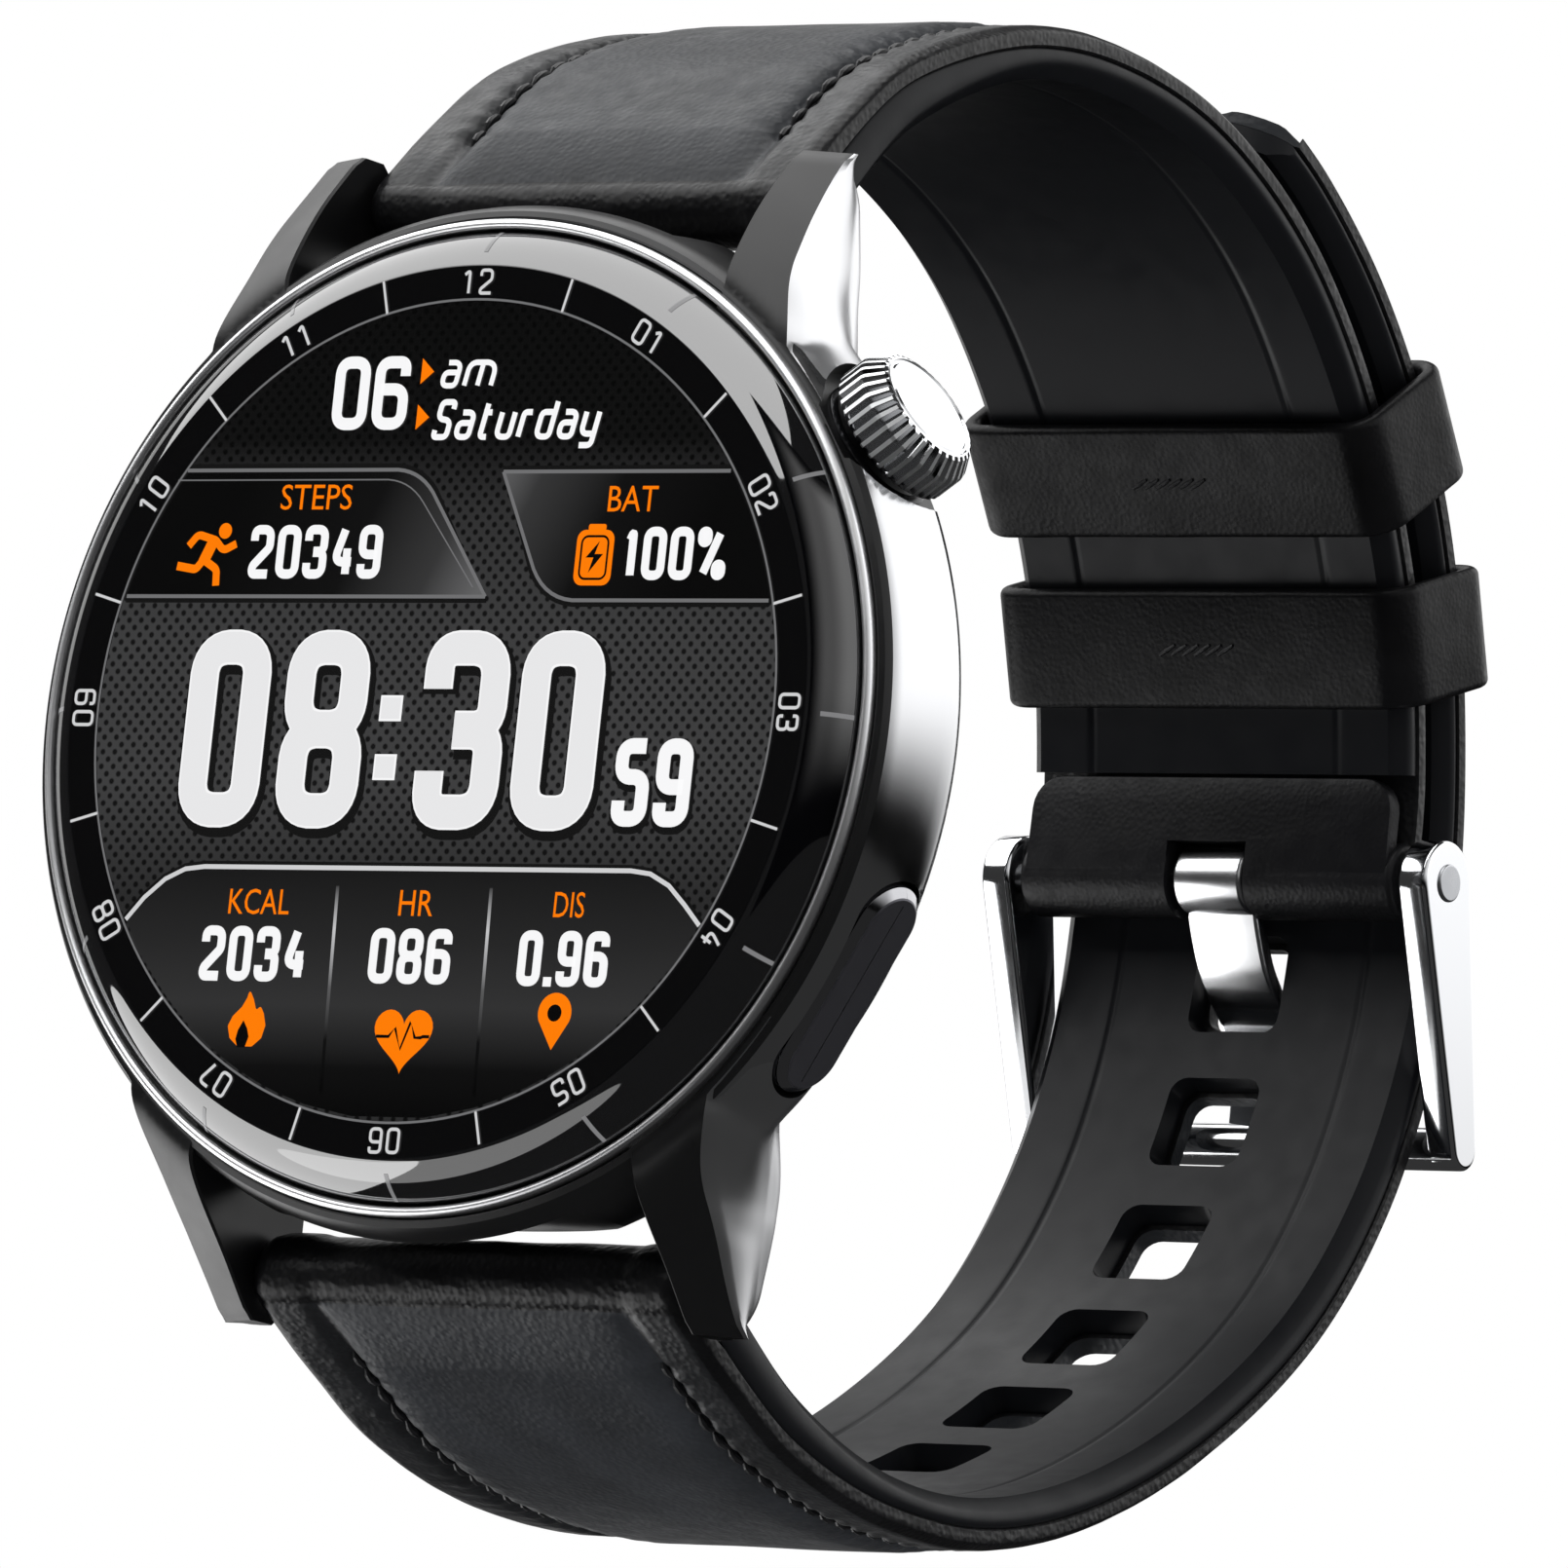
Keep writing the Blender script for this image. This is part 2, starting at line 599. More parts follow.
def build_case():
    seat_r = RING_OUT_R + 0.12
    front = [(seat_r, -8.7), (seat_r, CASE_FRONT_Y + 0.02), (RING_OUT_R + 0.2, CASE_FRONT_Y)]
    back_r = BACK_COVER_R + 0.15
    inside = [(back_r, CASE_BACK_Y), (back_r, -2.8), (16.0, -2.8), (16.0, -7.4), (18.0, -7.9), (18.0, -8.7)]
    finishes = [CASE_BLACK, CASE_SIDE, LUG_SIDE]
    body = lathe("case_shell", front + SHOULDER + CASE_SIDE_LINE + inside, finishes)
    paint(body, case_finish)
    for sx, sz in ((1, 1), (1, -1), (-1, 1), (-1, -1)):
        lug = loft("lug", lug_rings(sx, sz), finishes, sharp=30)
        paint(lug, lug_finish)
        boolean(body, lug, "UNION")
    for sign in (1, -1):
        near, far = sign * SLOT_FACE_Z, sign * 30
        slot = prism_x("slot_tool", [(-8.1, near), (1, near), (1, far), (-8.1, far)], -LUG_IN_X, LUG_IN_X)
        boolean(body, slot)
    for outline, x0, angle in ((pill(0.5), 20.35, BUTTON_ANGLE),
                               (circle(CONTROL_Y, 0, CROWN_R + 0.45, 48), 21.35, CROWN_ANGLE)):
        seat = prism_x("seat_tool", outline, x0, OUTSIDE_X)
        turn_about_axis(seat, angle)
        boolean(body, seat)
    finish_mesh(body, 28)
    ride(body, "case", "case_black", "case_body")


def dome_point(t):
    """The glass's rounded edge as [radius, Y], from its flat at t = 0 to its rim at t = 1."""
    low, high = math.radians(20), math.radians(60)
    bend = (GLASS_R + 0.12 - GLASS_FLAT_R) / (math.sin(high) - math.sin(low))
    tilt = mix(low, high, t)
    return (GLASS_FLAT_R + bend * (math.sin(tilt) - math.sin(low)),
            GLASS_TOP_Y + bend * (math.cos(low) - math.cos(tilt)))


def build_bezel_and_glass():
    mid = (RING_IN_R + RING_OUT_R) / 2
    half = (RING_OUT_R - RING_IN_R) / 2 + 0.05
    ring = [(RING_OUT_R + 0.05, -8.85), (RING_OUT_R + 0.05, -9.45)]
    for a in (math.radians(15 * k) for k in range(1, 12)):
        ring.append((mid + half * math.cos(a), -9.5 - 0.27 * math.sin(a)))
    ring += [(RING_IN_R - 0.05, -9.45), (RING_IN_R - 0.05, -8.85)]
    lathe("bezel_bright_ring", ring, [BEZEL], "case", "bezel_chrome", replaces=["bezel_ring"])
    dome = [(0, GLASS_TOP_Y), (17.0, GLASS_TOP_Y), (GLASS_FLAT_R - 0.1, GLASS_TOP_Y)]
    dome += [dome_point(k / 14) for k in range(15)] + [(GLASS_R + 0.12, -9.0), (0, -9.0)]
    glass = lathe("glass_dome", dome, [GLASS_BLACK, GLASS_EDGE], "case", "cover_glass", sharp=50,
                  replaces=["cover_glass"])
    paint(glass, lambda centre, normal: 1 if math.hypot(centre.x, centre.z) > GLASS_FLAT_R - 0.02 else 0)


def build_back():
    """Back cover, sensor window, screws and charging contacts."""
    profile = [(WINDOW_R + 0.2, -2.3), (WINDOW_R + 0.2, -0.3), (WINDOW_R + 0.32, -0.14),
               (WINDOW_R + 0.6, -0.1), (10.2, -0.1), (10.6, -0.16), (10.95, -0.36), (11.25, -0.58),
               (11.7, -0.7), (17.4, -1.06), (17.9, -1.14), (18.4, -1.45), (BACK_COVER_R, -1.7),
               (BACK_COVER_R, -2.3)]
    shell = lathe("back_shell", profile, [BACK_GLOSS])
    screws = circle(0, 0, WELL_RING_R, 8)[1::2]
    contacts = [(-2, -12.8), (2, -12.8)]
    for places, r, floor_y in ((screws, 1.08, -1.6), (contacts, 0.95, -2.4)):
        for x, z in places:
            boolean(shell, turned_at("well_tool", x, z, [(r, floor_y), (r, 1)], [BACK_GLOSS]))
    finish_mesh(shell, 28, recalc=False)
    ride(shell, "case", "back_plastic", "back_cover")
    glass = [(0, -0.02), (5.6, -0.03), (6.9, -0.08), (7.3, -0.2), (WINDOW_R, -0.5), (WINDOW_R, -1.4),
             (0, -1.4)]
    lathe("sensor_glass", glass, [GLASS_BLACK], "case", "cover_glass", segments=192,
          replaces=["sensor_window"])
    eyes = [(0, 0, 1.5)] + [(3.3 * x, 3.3 * z, 0.7) for x, z in ((1, 0), (-1, 0), (0, 1), (0, -1))]
    for k, (x, z, r) in enumerate(eyes):
        turned_at(f"sensor_eye_{k}", x, z, [(r, -0.06), (r, -0.005), (r - 0.08, 0.0)],
                  [BOARD_GREEN if k else STEEL], "case", "circuit_board", sharp=50)
    long, thin = 0.55, 0.1
    dome = [(0.9, -1.45), (0.9, -1.15), (0.8, -1.03), (0.45, -1.0)]
    for k, (x, z) in enumerate(screws, 1):
        head = turned_at(f"screw_head_{k}", x, z, dome, [STEEL])
        for dx, dz in ((long, thin), (thin, long)):
            boolean(head, box_tool((x - dx, x + dx), (-1.25, 0), (z - dz, z + dz)))
        finish_mesh(head, 30, recalc=False)
        ride(head, "case", "inner_steel", f"back_screw_{k}")
    pad = [(0.8, -2.6), (0.8, -0.8), (0.72, -0.66), (0.5, -0.61), (0.2, -0.6)]
    for k, (x, z) in enumerate(contacts, 1):
        turned_at(f"contact_pad_{k}", x, z, pad, [GOLD], "case", "contact_gold", sharp=50,
                  replaces=[f"charge_contact_{k}"])


# ---------------------------------------------------------------- crown and button
def build_crown():
    """The knurled cap, each tooth one brushed land and two polished flanks, and its dark collar."""
    teeth, knurl_depth = 36, 0.26
    corners = ((0.0, 0.0), (0.34, 0.0), (0.67, 1.0))
    levels = [(0, 2.75, 0.0), (0.12, 3.05, 0.6), (0.25, CROWN_R, 1.0), (1.45, CROWN_R, 1.0),
              (1.62, CROWN_R - 0.06, 1.0), (2.3, 2.66, 0.9), (2.38, 2.52, 0.1), (2.4, 2.42, 0.0),
              (2.34, 2.36, 0.0), (2.34, 2.26, 0.0), (2.4, 2.18, 0.0), (2.42, 1.2, 0.0)]
    rings, face_mats = [], []
    for n, (out, r, knurl) in enumerate(levels):
        ring = []
        for tooth in range(teeth):
            for turn, sunk in corners:
                a = TURN * (tooth + turn) / teeth
                reach = r - knurl_depth * knurl * sunk
                ring.append((CROWN_IN + out, CONTROL_Y + reach * math.cos(a), reach * math.sin(a)))
        rings.append(ring)
        if n:
            face_mats += [1 if knurl > 0.8 else 0, 0, 0] * teeth
    cap = loft("crown_knurled_cap", rings, [CHROME, RIB_STEEL], "crown", "crown_chrome",
               face_mats=face_mats + [0, 0], sharp=11, replaces=["crown_cap"])
    profile = [(21.2, 2.95), (21.45, 2.95), (21.53, 2.85), (21.56, 2.6), (21.2, 2.5)]
    collar = [[(x, y, z) for y, z in circle(CONTROL_Y, 0, r, 48)] for x, r in profile]
    ring = loft("crown_dark_collar", collar, [DARK_METAL], "case", "inner_plastic", close=True,
                replaces=["crown_collar"])
    for piece in (cap, ring):
        turn_about_axis(piece, CROWN_ANGLE)


def build_button():
    """The button, its bevel polished: each level is (height over the face, inset, finish below it)."""
    levels = [(-1.25, 0.0, 0), (-0.42, 0.0, 0), (-0.36, 0.02, 1), (-0.05, 0.36, 1), (0, 0.44, 0),
              (-0.03, 0.7, 0)]
    rings, face_mats = [], []
    for n, (out, inset, edge) in enumerate(levels):
        ring = [(BUTTON_FACE + out, y, z) for y, z in shrink(pill(), inset)]
        rings.append(ring)
        if n:
            face_mats += [edge] * len(ring)
    cap = loft("button_cap", rings, [BUTTON_SATIN, BUTTON_EDGE], "side_button", "button_grey",
               face_mats=face_mats + [0, 0], sharp=22, replaces=["side_button"])
    turn_about_axis(cap, BUTTON_ANGLE)


# ---------------------------------------------------------------- strap paths
class Path:
    """A Catmull-Rom curve through [Y, Z] points, walked by its length; side says which way is outside."""

    def __init__(self, points, side):
        dense = []
        last = len(points) - 1
        points = [np.array(p, float) for p in points]
        for i in range(last):
            p0, p1, p2, p3 = (points[min(max(i + k, 0), last)] for k in (-1, 0, 1, 2))
            v0, v1 = (p2 - p0) / 2, (p3 - p1) / 2
            for t in np.linspace(0, 1, 60, endpoint=False):
                dense.append((2 * p1 - 2 * p2 + v0 + v1) * t**3 + (-3 * p1 + 3 * p2 - 2 * v0 - v1) * t**2
                             + v0 * t + p1)
        self.points = np.array(dense + [points[last]])
        steps = np.linalg.norm(np.diff(self.points, axis=0), axis=1)
        self.lengths = np.concatenate([[0], np.cumsum(steps)])
        self.length = float(self.lengths[-1])
        self.side = side

    def at(self, s):
        return np.array([np.interp(s, self.lengths, self.points[:, axis]) for axis in (0, 1)])

    def along(self, s):
        step = self.at(min(s + 0.4, self.length)) - self.at(max(s - 0.4, 0))
        return step / np.linalg.norm(step)

    def away(self, s):
        t = self.along(s)
        return np.array([-t[1], t[0]]) * self.side

    def frame_at(self, s):
        return self.at(s), self.away(s), self.along(s)

    def place(self, s, offset):
        return self.at(s) + offset * self.away(s)

    def first(self, test):
        for s in np.arange(0, self.length, 0.05):
            if test(*self.at(s)):
                return float(s)
        return self.length


SHORT = Path(SHORT_POINTS, 1)
LONG = Path(LONG_POINTS, -1)
HOLE_AT = LONG.first(lambda y, z: y > BUCKLE_SIDE_Y and z > -1.4)


def half_width(y):
    return mix(HALF_W_LUG, HALF_W_BACK, smooth(y, 2, 44))


def thickness(path, s):
    body = mix(THICK_LUG, THICK_BACK, smooth(s, 0, 18))
    return mix(body, TAIL_THICK, smooth(s, 50, 75)) if path is LONG else body


def spread(stops, counts):
    """Columns from the first stop to the last, each stretch with its own count of steps."""
    cols = [np.linspace(a, b, n, endpoint=False) for a, b, n in zip(stops, stops[1:], counts)]
    return np.concatenate(cols + [stops[-1:]])


# ---------------------------------------------------------------- leather
OUTER_COLS = (22, 26, 22)
SKIN_STEP = 0.30
ROLL_FROM, ROLL_TO = 205, 4
TAIL_CLEARANCE = 0.42


def leather_height(s, x, half, fade):
    """How far the leather's outer face stands above or below its even thickness."""
    a = abs(x)
    channel = half - CHANNEL_INSET
    started = smooth(s, BAND_END - 0.2, BAND_END + 0.9)
    crown = 0.34 * (1 - math.exp(-(max(channel - a, 0) ** 2))) * started
    strip = 0.12 * (1 - math.exp(-((max(a - channel, 0) / 0.5) ** 2)))
    valley = -0.40 * bump(a, channel, 0.40) * started
    pucker = 0.09 * bump(a, channel, 1.15) * math.sin(TURN * (s / STITCH_STEP + 0.25 * a)) * started
    pucker += 0.05 * bump(a, channel, 2.0) * wobble(s * 0.8, x * 0.5, 3.0) * started
    fold = -0.16 * bump(s, BAND_END - 0.1, 0.3)
    wrinkle = (1 - started) * (0.06 * wobble(x * 0.28, s * 1.6, 1.0) + 0.02 * wobble(x * 0.9, s * 2.4, 5.0))
    drift = 0.035 * wobble(x * 0.22, s * 0.18, 8.0)
    edge = -0.28 * smooth(a, half - 0.75, half) ** 2
    return (crown + strip + valley) * mix(0.55, 1.0, fade) + pucker * fade + fold + wrinkle + drift + edge


def leather_section(path, centre, normal, s, half, high, low):
    """One closed section of a leather skin: its outer face, an edge, its inner face, the other edge."""
    fade = 1 - 0.75 * smooth(s, 34, 52)
    outer = high - TAIL_CLEARANCE * (1 - fade) if path is LONG else high
    cols = spread([-half, -half + 5, half - 5, half], OUTER_COLS)
    top = [(x, *(centre + normal * (outer + leather_height(s, x, half, fade)))) for x in cols]
    walls = [mix(high - 0.25, low + 0.1, k / 2) for k in range(3)]
    right = [(half + 0.03, *(centre + normal * h)) for h in walls]
    bottom = [(x, *(centre + normal * low)) for x in np.linspace(half - 0.1, -half + 0.1, 7)]
    left = [(-half - 0.03, *(centre + normal * h)) for h in reversed(walls)]
    return top + right + bottom + left


def leather_skin(name, path, s_end, bar, *rides, **more):
    """One leather skin: round its spring bar, then along the strap's outside."""
    base = math.degrees(math.atan2(*reversed(path.away(0.0))))
    rings, marks = [], []
    for turn in (mix(ROLL_FROM, ROLL_TO, k / 25) for k in range(26)):
        a = math.radians(base + path.side * turn)
        s = -ROLL_R * math.radians(turn)
        normal = np.array([math.cos(a), math.sin(a)])
        rings.append(leather_section(path, bar, normal, s, HALF_W_LUG, ROLL_R + 0.02, ROLL_R - 0.75))
        marks.append(s)
    count = int(s_end / SKIN_STEP)
    for s in (s_end * k / count for k in range(1, count + 1)):
        centre, normal, _ = path.frame_at(s)
        settle = 1 - smooth(s, 0, 3.5)
        high = thickness(path, s) + 0.2 * settle
        low = high - LEATHER_T - 0.15 * settle
        rings.append(leather_section(path, centre, normal, s, half_width(centre[0]), high, low))
        marks.append(s)
    mats = leather_face_mats(rings, marks)
    return loft(name, rings, [LEATHER_PANEL, LEATHER_EDGE, LEATHER_STRIP], *rides, face_mats=mats, **more)


def leather_face_mats(rings, marks):
    """Charcoal between the channels, black on the lug band, the edges and the underside."""
    panel, black, strip = 0, 1, 2
    mats = []
    for ring, s in zip(rings[:-1], marks):
        for j, (x, y, _) in enumerate(ring):
            half = half_width(y)
            if j >= sum(OUTER_COLS) or s <= BAND_END - 0.1 or abs(x) >= half - 0.5:
                mats.append(black)
            else:
                mats.append(panel if abs(x) < half - CHANNEL_INSET else strip)
    return mats + [black, black]


def capsule(verts, faces, spine, radii, sides=8):
    """Adds a rounded thread along a spine."""
    start, count = len(verts), len(spine)
    for k, point in enumerate(spine):
        t = spine[min(k + 1, count - 1)] - spine[max(k - 1, 0)]
        t = t / np.linalg.norm(t)
        u = np.cross(t, [1.0, 0.3, 0.2])
        u /= np.linalg.norm(u)
        w = np.cross(t, u)
        verts += [tuple(point + x * u + y * w) for x, y in circle(0, 0, radii[k], sides)]
    faces += tube_faces(count, sides, start)


def stitches(name, path, s_end, body):
    """Slanted thread stitches in both channels."""
    verts, faces = [], []
    slant, reach, first_at = 0.16, 0.46, 1.2
    for side in (-1, 1):
        for s in np.arange(first_at, s_end, STITCH_STEP):
            x0 = side * (half_width(path.at(s)[0]) - CHANNEL_INSET)
            high = thickness(path, s) - 0.22
            a = np.array([x0 - slant, *path.place(s - reach, high - 0.08)])
            m = np.array([x0, *path.place(s, high + 0.12)])
            b = np.array([x0 + slant, *path.place(s + reach, high - 0.08)])
            lift = (m - (a + b) / 2) * 0.35
            capsule(verts, faces, [a, (a + m) / 2 + lift, m, (b + m) / 2 + lift, b],
                    [0.08, 0.17, 0.2, 0.17, 0.08])
    return add_piece(name, verts, faces, [THREAD], body, "strap_leather")


# ---------------------------------------------------------------- rubber lining
LINING_STEP = 0.45


def lining_depth(s, x, half):
    """Depth of the two grooves, and of the shallow field between them, in the wrist face."""
    right = half - GROOVE_INSET + 0.1
    left = -half + GROOVE_INSET
    depth = 0.11 * bump(x, left, 0.13) + 0.10 * bump(x, right, 0.13)
    depth += 0.05 * smooth(right - x, 0, 0.3) * smooth(x - left, 0, 0.3)
    return depth * smooth(s, 3.5, 5.0)


def lining(name, path, s_end, *rides, **more):
    rings = []
    bevel = 0.7
    count = int(s_end / LINING_STEP)
    for s in (s_end * k / count for k in range(count + 1)):
        centre, normal, _ = path.frame_at(s)
        half = half_width(centre[0]) - 0.02
        top = thickness(path, s) - LEATHER_T - 0.02
        cols = spread([-half + bevel, -half + 4, half - 4, half - bevel], (30, 14, 25))
        inner = [(x, *(centre + normal * lining_depth(s, x, half))) for x in cols]
        wall = [(x, *(centre + normal * h)) for x, h in
                ((half - 0.12, 0.52), (half, 0.75), (half, top - 0.12), (half - 0.1, top))]
        rings.append(inner + wall + [(-x, y, z) for x, y, z in reversed(wall)])
    return loft(name, rings, [RUBBER], *rides, **more)


def holes_tool(low, flare):
    """Prisms through the strap at each adjusting hole, flared towards the wrist when asked."""
    verts, faces = [], []
    width, height = HOLE_SIZE
    for k in range(-HOLES_BEFORE, HOLES_AFTER + 1):
        centre, normal, along = LONG.frame_at(HOLE_AT + k * HOLE_PITCH)
        first = len(verts)
        for offset, grow in ((low, flare), (6, 0.0)):
            outline = rounded_rect(width + grow, height + grow, 0.8, 5)
            verts += [(x, *(centre + normal * offset + along * t)) for x, t in outline]
        faces += tube_faces(2, len(outline), first)
    return add_piece("hole_tool", verts, faces, [RUBBER])


def tip_tool():
    """Everything beyond the rounded free end of the long strap."""
    centre, normal, along = LONG.frame_at(LONG.length)
    edge, depth = HALF_W_BACK + 0.4, 5.2
    outline = [(-16, -depth)]
    for a in (math.radians(6 * k) for k in range(-15, 16)):
        outline.append((edge * math.sin(a), -depth * (1 - math.cos(a) ** 0.7)))
    outline += [(16, -depth), (16, 9), (-16, 9)]
    verts = [(x, *(centre + normal * offset + along * t)) for offset in (-5, 8) for x, t in outline]
    return add_piece("tip_tool", verts, tube_faces(2, len(outline)), [RUBBER])


def build_straps():
    bar_top, bar_low = np.array([BAR_Y, BAR_Z]), np.array([BAR_Y, -BAR_Z])
    flap_at = SHORT.first(lambda y, z: y > BUCKLE_SIDE_Y and z < FLAP_TOP_Z)
    leather_skin("leather_short", SHORT, SHORT.length - 0.6, bar_top, "strap_short", "strap_leather",
                 sharp=50, replaces=["strap_short_leather"])
    lining("rubber_short", SHORT, flap_at - 0.15, "strap_short", "strap_rubber", sharp=40,
           replaces=["strap_short_lining"])
    stitches("stitches_short", SHORT, 40, "strap_short")
    skin = leather_skin("leather_long", LONG, LONG.length, bar_low)
    rubber = lining("rubber_long", LONG, LONG.length)
    for piece, low, flare, sharp, slot, node in ((skin, -2, 0.0, 50, "strap_leather", "strap_long_leather"),
                                                 (rubber, -1, 0.8, 40, "strap_rubber", "strap_long_lining")):
        boolean(piece, holes_tool(low, flare))
        boolean(piece, tip_tool())
        finish_mesh(piece, sharp, recalc=False)
        ride(piece, "strap_long", slot, node)
    stitches("stitches_long", LONG, 62, "strap_long")


# ---------------------------------------------------------------- keepers
def build_keeper(name, node, body, at_z):
    """A leather loop round both straps, its size taken from the CAD loop."""
    centre, normal, along = SHORT.frame_at(SHORT.first(lambda y, z: y > BUCKLE_SIDE_Y and z < at_z))
    points = np.array([v.co for v in nodes[node].data.vertices], float) / MM
    flat = points[:, 1:] - centre
    n, t = flat @ normal, flat @ along
    half_t = 0.38
    half_x = np.abs(points[:, 0]).max() - half_t
    low, high = n.min() + half_t, n.max() - half_t
    mid_n, mid_t = (low + high) / 2, (t.min() + t.max()) / 2
    loop = rounded_rect(2 * half_x, high - low, 1.25, 10)
    dense = []
    for a, b in zip(loop, loop[1:] + loop[:1]):
        steps = max(1, int(math.dist(a, b) / 0.5))
        dense += [(mix(a[0], b[0], j / steps), mix(a[1], b[1], j / steps)) for j in range(steps)]
    section = rounded_rect(t.max() - t.min(), 0.8, 0.36, 5)
    rows = []
    for k, (x, v) in enumerate(dense):
        (px, pv), (qx, qv) = dense[k - 1], dense[(k + 1) % len(dense)]
        size = math.hypot(qx - px, qv - pv)
        out_x, out_v = (qv - pv) / size, -(qx - px) / size
        ring = []
        for across, lift in section:
            if lift > 0:
                lift += 0.05 * wobble(k * 0.05, across * 0.4, mid_t) + 0.03 * wobble(k * 0.2, across, 4)
            shift = mid_t + across * (1 + 0.01 * wobble(k * 0.1, 2))
            ring.append((x + out_x * lift, *(centre + normal * (mid_n + v + out_v * lift) + along * shift)))
        rows.append(ring)
    loft(name, rows, [LEATHER_KEEPER], body, "keeper_leather", close=True, sharp=50, replaces=[node])
    verts, faces = [], []
    for x in (-1.55 + 0.62 * k for k in range(6)):
        a, b = (np.array([x + 0.42 * end, *(centre + normal * (low - 0.40) + along * (mid_t - 0.22 * end))])
                for end in (-1, 1))
        capsule(verts, faces, [a, (a + b) / 2, b], [0.07, 0.11, 0.07])
    add_piece(name + "_stitches", verts, faces, [THREAD], body, "keeper_leather")


# ---------------------------------------------------------------- buckle
def rounded_prism(name, outline, x0, x1, edge, mats, body=None, slot=None, **more):
    """An outline in (Y, Z) between two X planes, with round edges."""
    angles = [math.pi / 2 * k / 4 for k in range(4, -1, -1)]
    levels = [(x0 + edge * (1 - math.sin(a)), edge * (1 - math.cos(a))) for a in angles]
    levels += [(x0 + x1 - x, inset) for x, inset in reversed(levels)]
    rings = [[(x, y, z) for y, z in shrink(outline, inset)] for x, inset in levels]
    return loft(name, rings, mats, body, slot, **more)


def tube_x(name, r, x0, x1, place, mats, body=None, slot=None, edge=0.12, sides=40, **more):
    return rounded_prism(name, circle(*place, r, sides), x0, x1, edge, mats, body, slot, **more)


def build_buckle():
    hinge, far = (BUCKLE_Y, BUCKLE_Z), (FAR_BAR_Y, FAR_BAR_Z)
    lean = math.degrees(math.atan2(FAR_BAR_Z - BUCKLE_Z, FAR_BAR_Y - BUCKLE_Y))
    arm = arc(*hinge, 1.9, lean + 90, lean + 270, 20) + arc(*far, 0.95, lean - 90, lean + 90, 14)
    frame_parts = ("buckle_frame", "buckle_chrome")
    out_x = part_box("buckle_frame")[1].x / MM
    for sign, mark in ((1, "a"), (-1, "b")):
        x0, x1 = sorted((sign * ARM_IN_X, sign * out_x))
        rounded_prism("buckle_arm_" + mark, arm, x0, x1, 0.24, [CHROME], *frame_parts, sharp=40,
                      replaces=["buckle_frame"] if mark == "a" else [])
        x0, x1 = sorted((sign * (out_x - 0.2), sign * (out_x + 0.12)))
        tube_x("buckle_pin_head_" + mark, 0.85, x0, x1, hinge, [STEEL], *frame_parts, edge=0.1)
    tube_x("buckle_far_bar", 0.95, -out_x + 0.3, out_x - 0.3, far, [CHROME], *frame_parts)
    tube_x("buckle_hinge_bar", 0.68, -ARM_IN_X - 0.4, ARM_IN_X + 0.4, hinge, [CHROME], "buckle_frame",
           "inner_steel", replaces=["buckle_bar"])
    spine = Path(TONGUE_POINTS, 1)
    rings = []
    for s in (spine.length * k / 48 for k in range(49)):
        end = smooth(s, spine.length - 1.6, spine.length)
        section = rounded_rect(mix(3.75, 2.4, end ** 2), mix(0.8, 0.45, end), 0.2, 4)
        rings.append([(x, *spine.place(s, h)) for x, h in section])
    loft("tongue_blade", rings, [TONGUE_STEEL], "buckle_tongue", "buckle_chrome", sharp=50,
         replaces=["buckle_tongue"])
    tube_x("tongue_barrel", 1.55, -1.85, 1.85, hinge, [TONGUE_STEEL], "buckle_tongue", "buckle_chrome",
           edge=0.25)
    build_flap()


def build_flap():
    """The leather end folded over the buckle's bar and glued to the wrist face, with its tongue cut-out."""
    face_y = BUCKLE_Y - 1.75
    half, corner = 9.6, 1.5
    outline = arc(half - corner, FLAP_TOP_Z - corner, corner, 0, 90, 6)
    outline += arc(-half + corner, FLAP_TOP_Z - corner, corner, 90, 180, 6)
    outline += [(-half, BUCKLE_Z), (half, BUCKLE_Z)]
    levels = ((face_y + 0.75, 0.0), (face_y + 0.14, 0.0), (face_y + 0.04, 0.05), (face_y, 0.16))
    rings = [[(x, y, z) for x, z in shrink(outline, inset)] for y, inset in levels]
    flap = loft("flap_sheet", rings, [LEATHER_FLAP])
    roll_end = HALF_W_BACK - 0.05
    roll = tube_x("flap_roll", 1.75, -roll_end, roll_end, (BUCKLE_Y, BUCKLE_Z), [LEATHER_FLAP], edge=0.3,
                  sides=56)
    boolean(flap, roll, "UNION")
    boolean(flap, box_tool((-2.1, 2.1), (46, 54), (-1, 4.5)))
    finish_mesh(flap, 35, recalc=False)
    ride(flap, "strap_short", "strap_leather")


build_case()
build_bezel_and_glass()
build_back()
build_crown()
build_button()
build_straps()
build_keeper("keeper_loop_fixed", "keeper_fixed", "strap_short", 13.1)
build_keeper("keeper_loop_free", "keeper_free", "keeper_free", 20.2)
build_buckle()

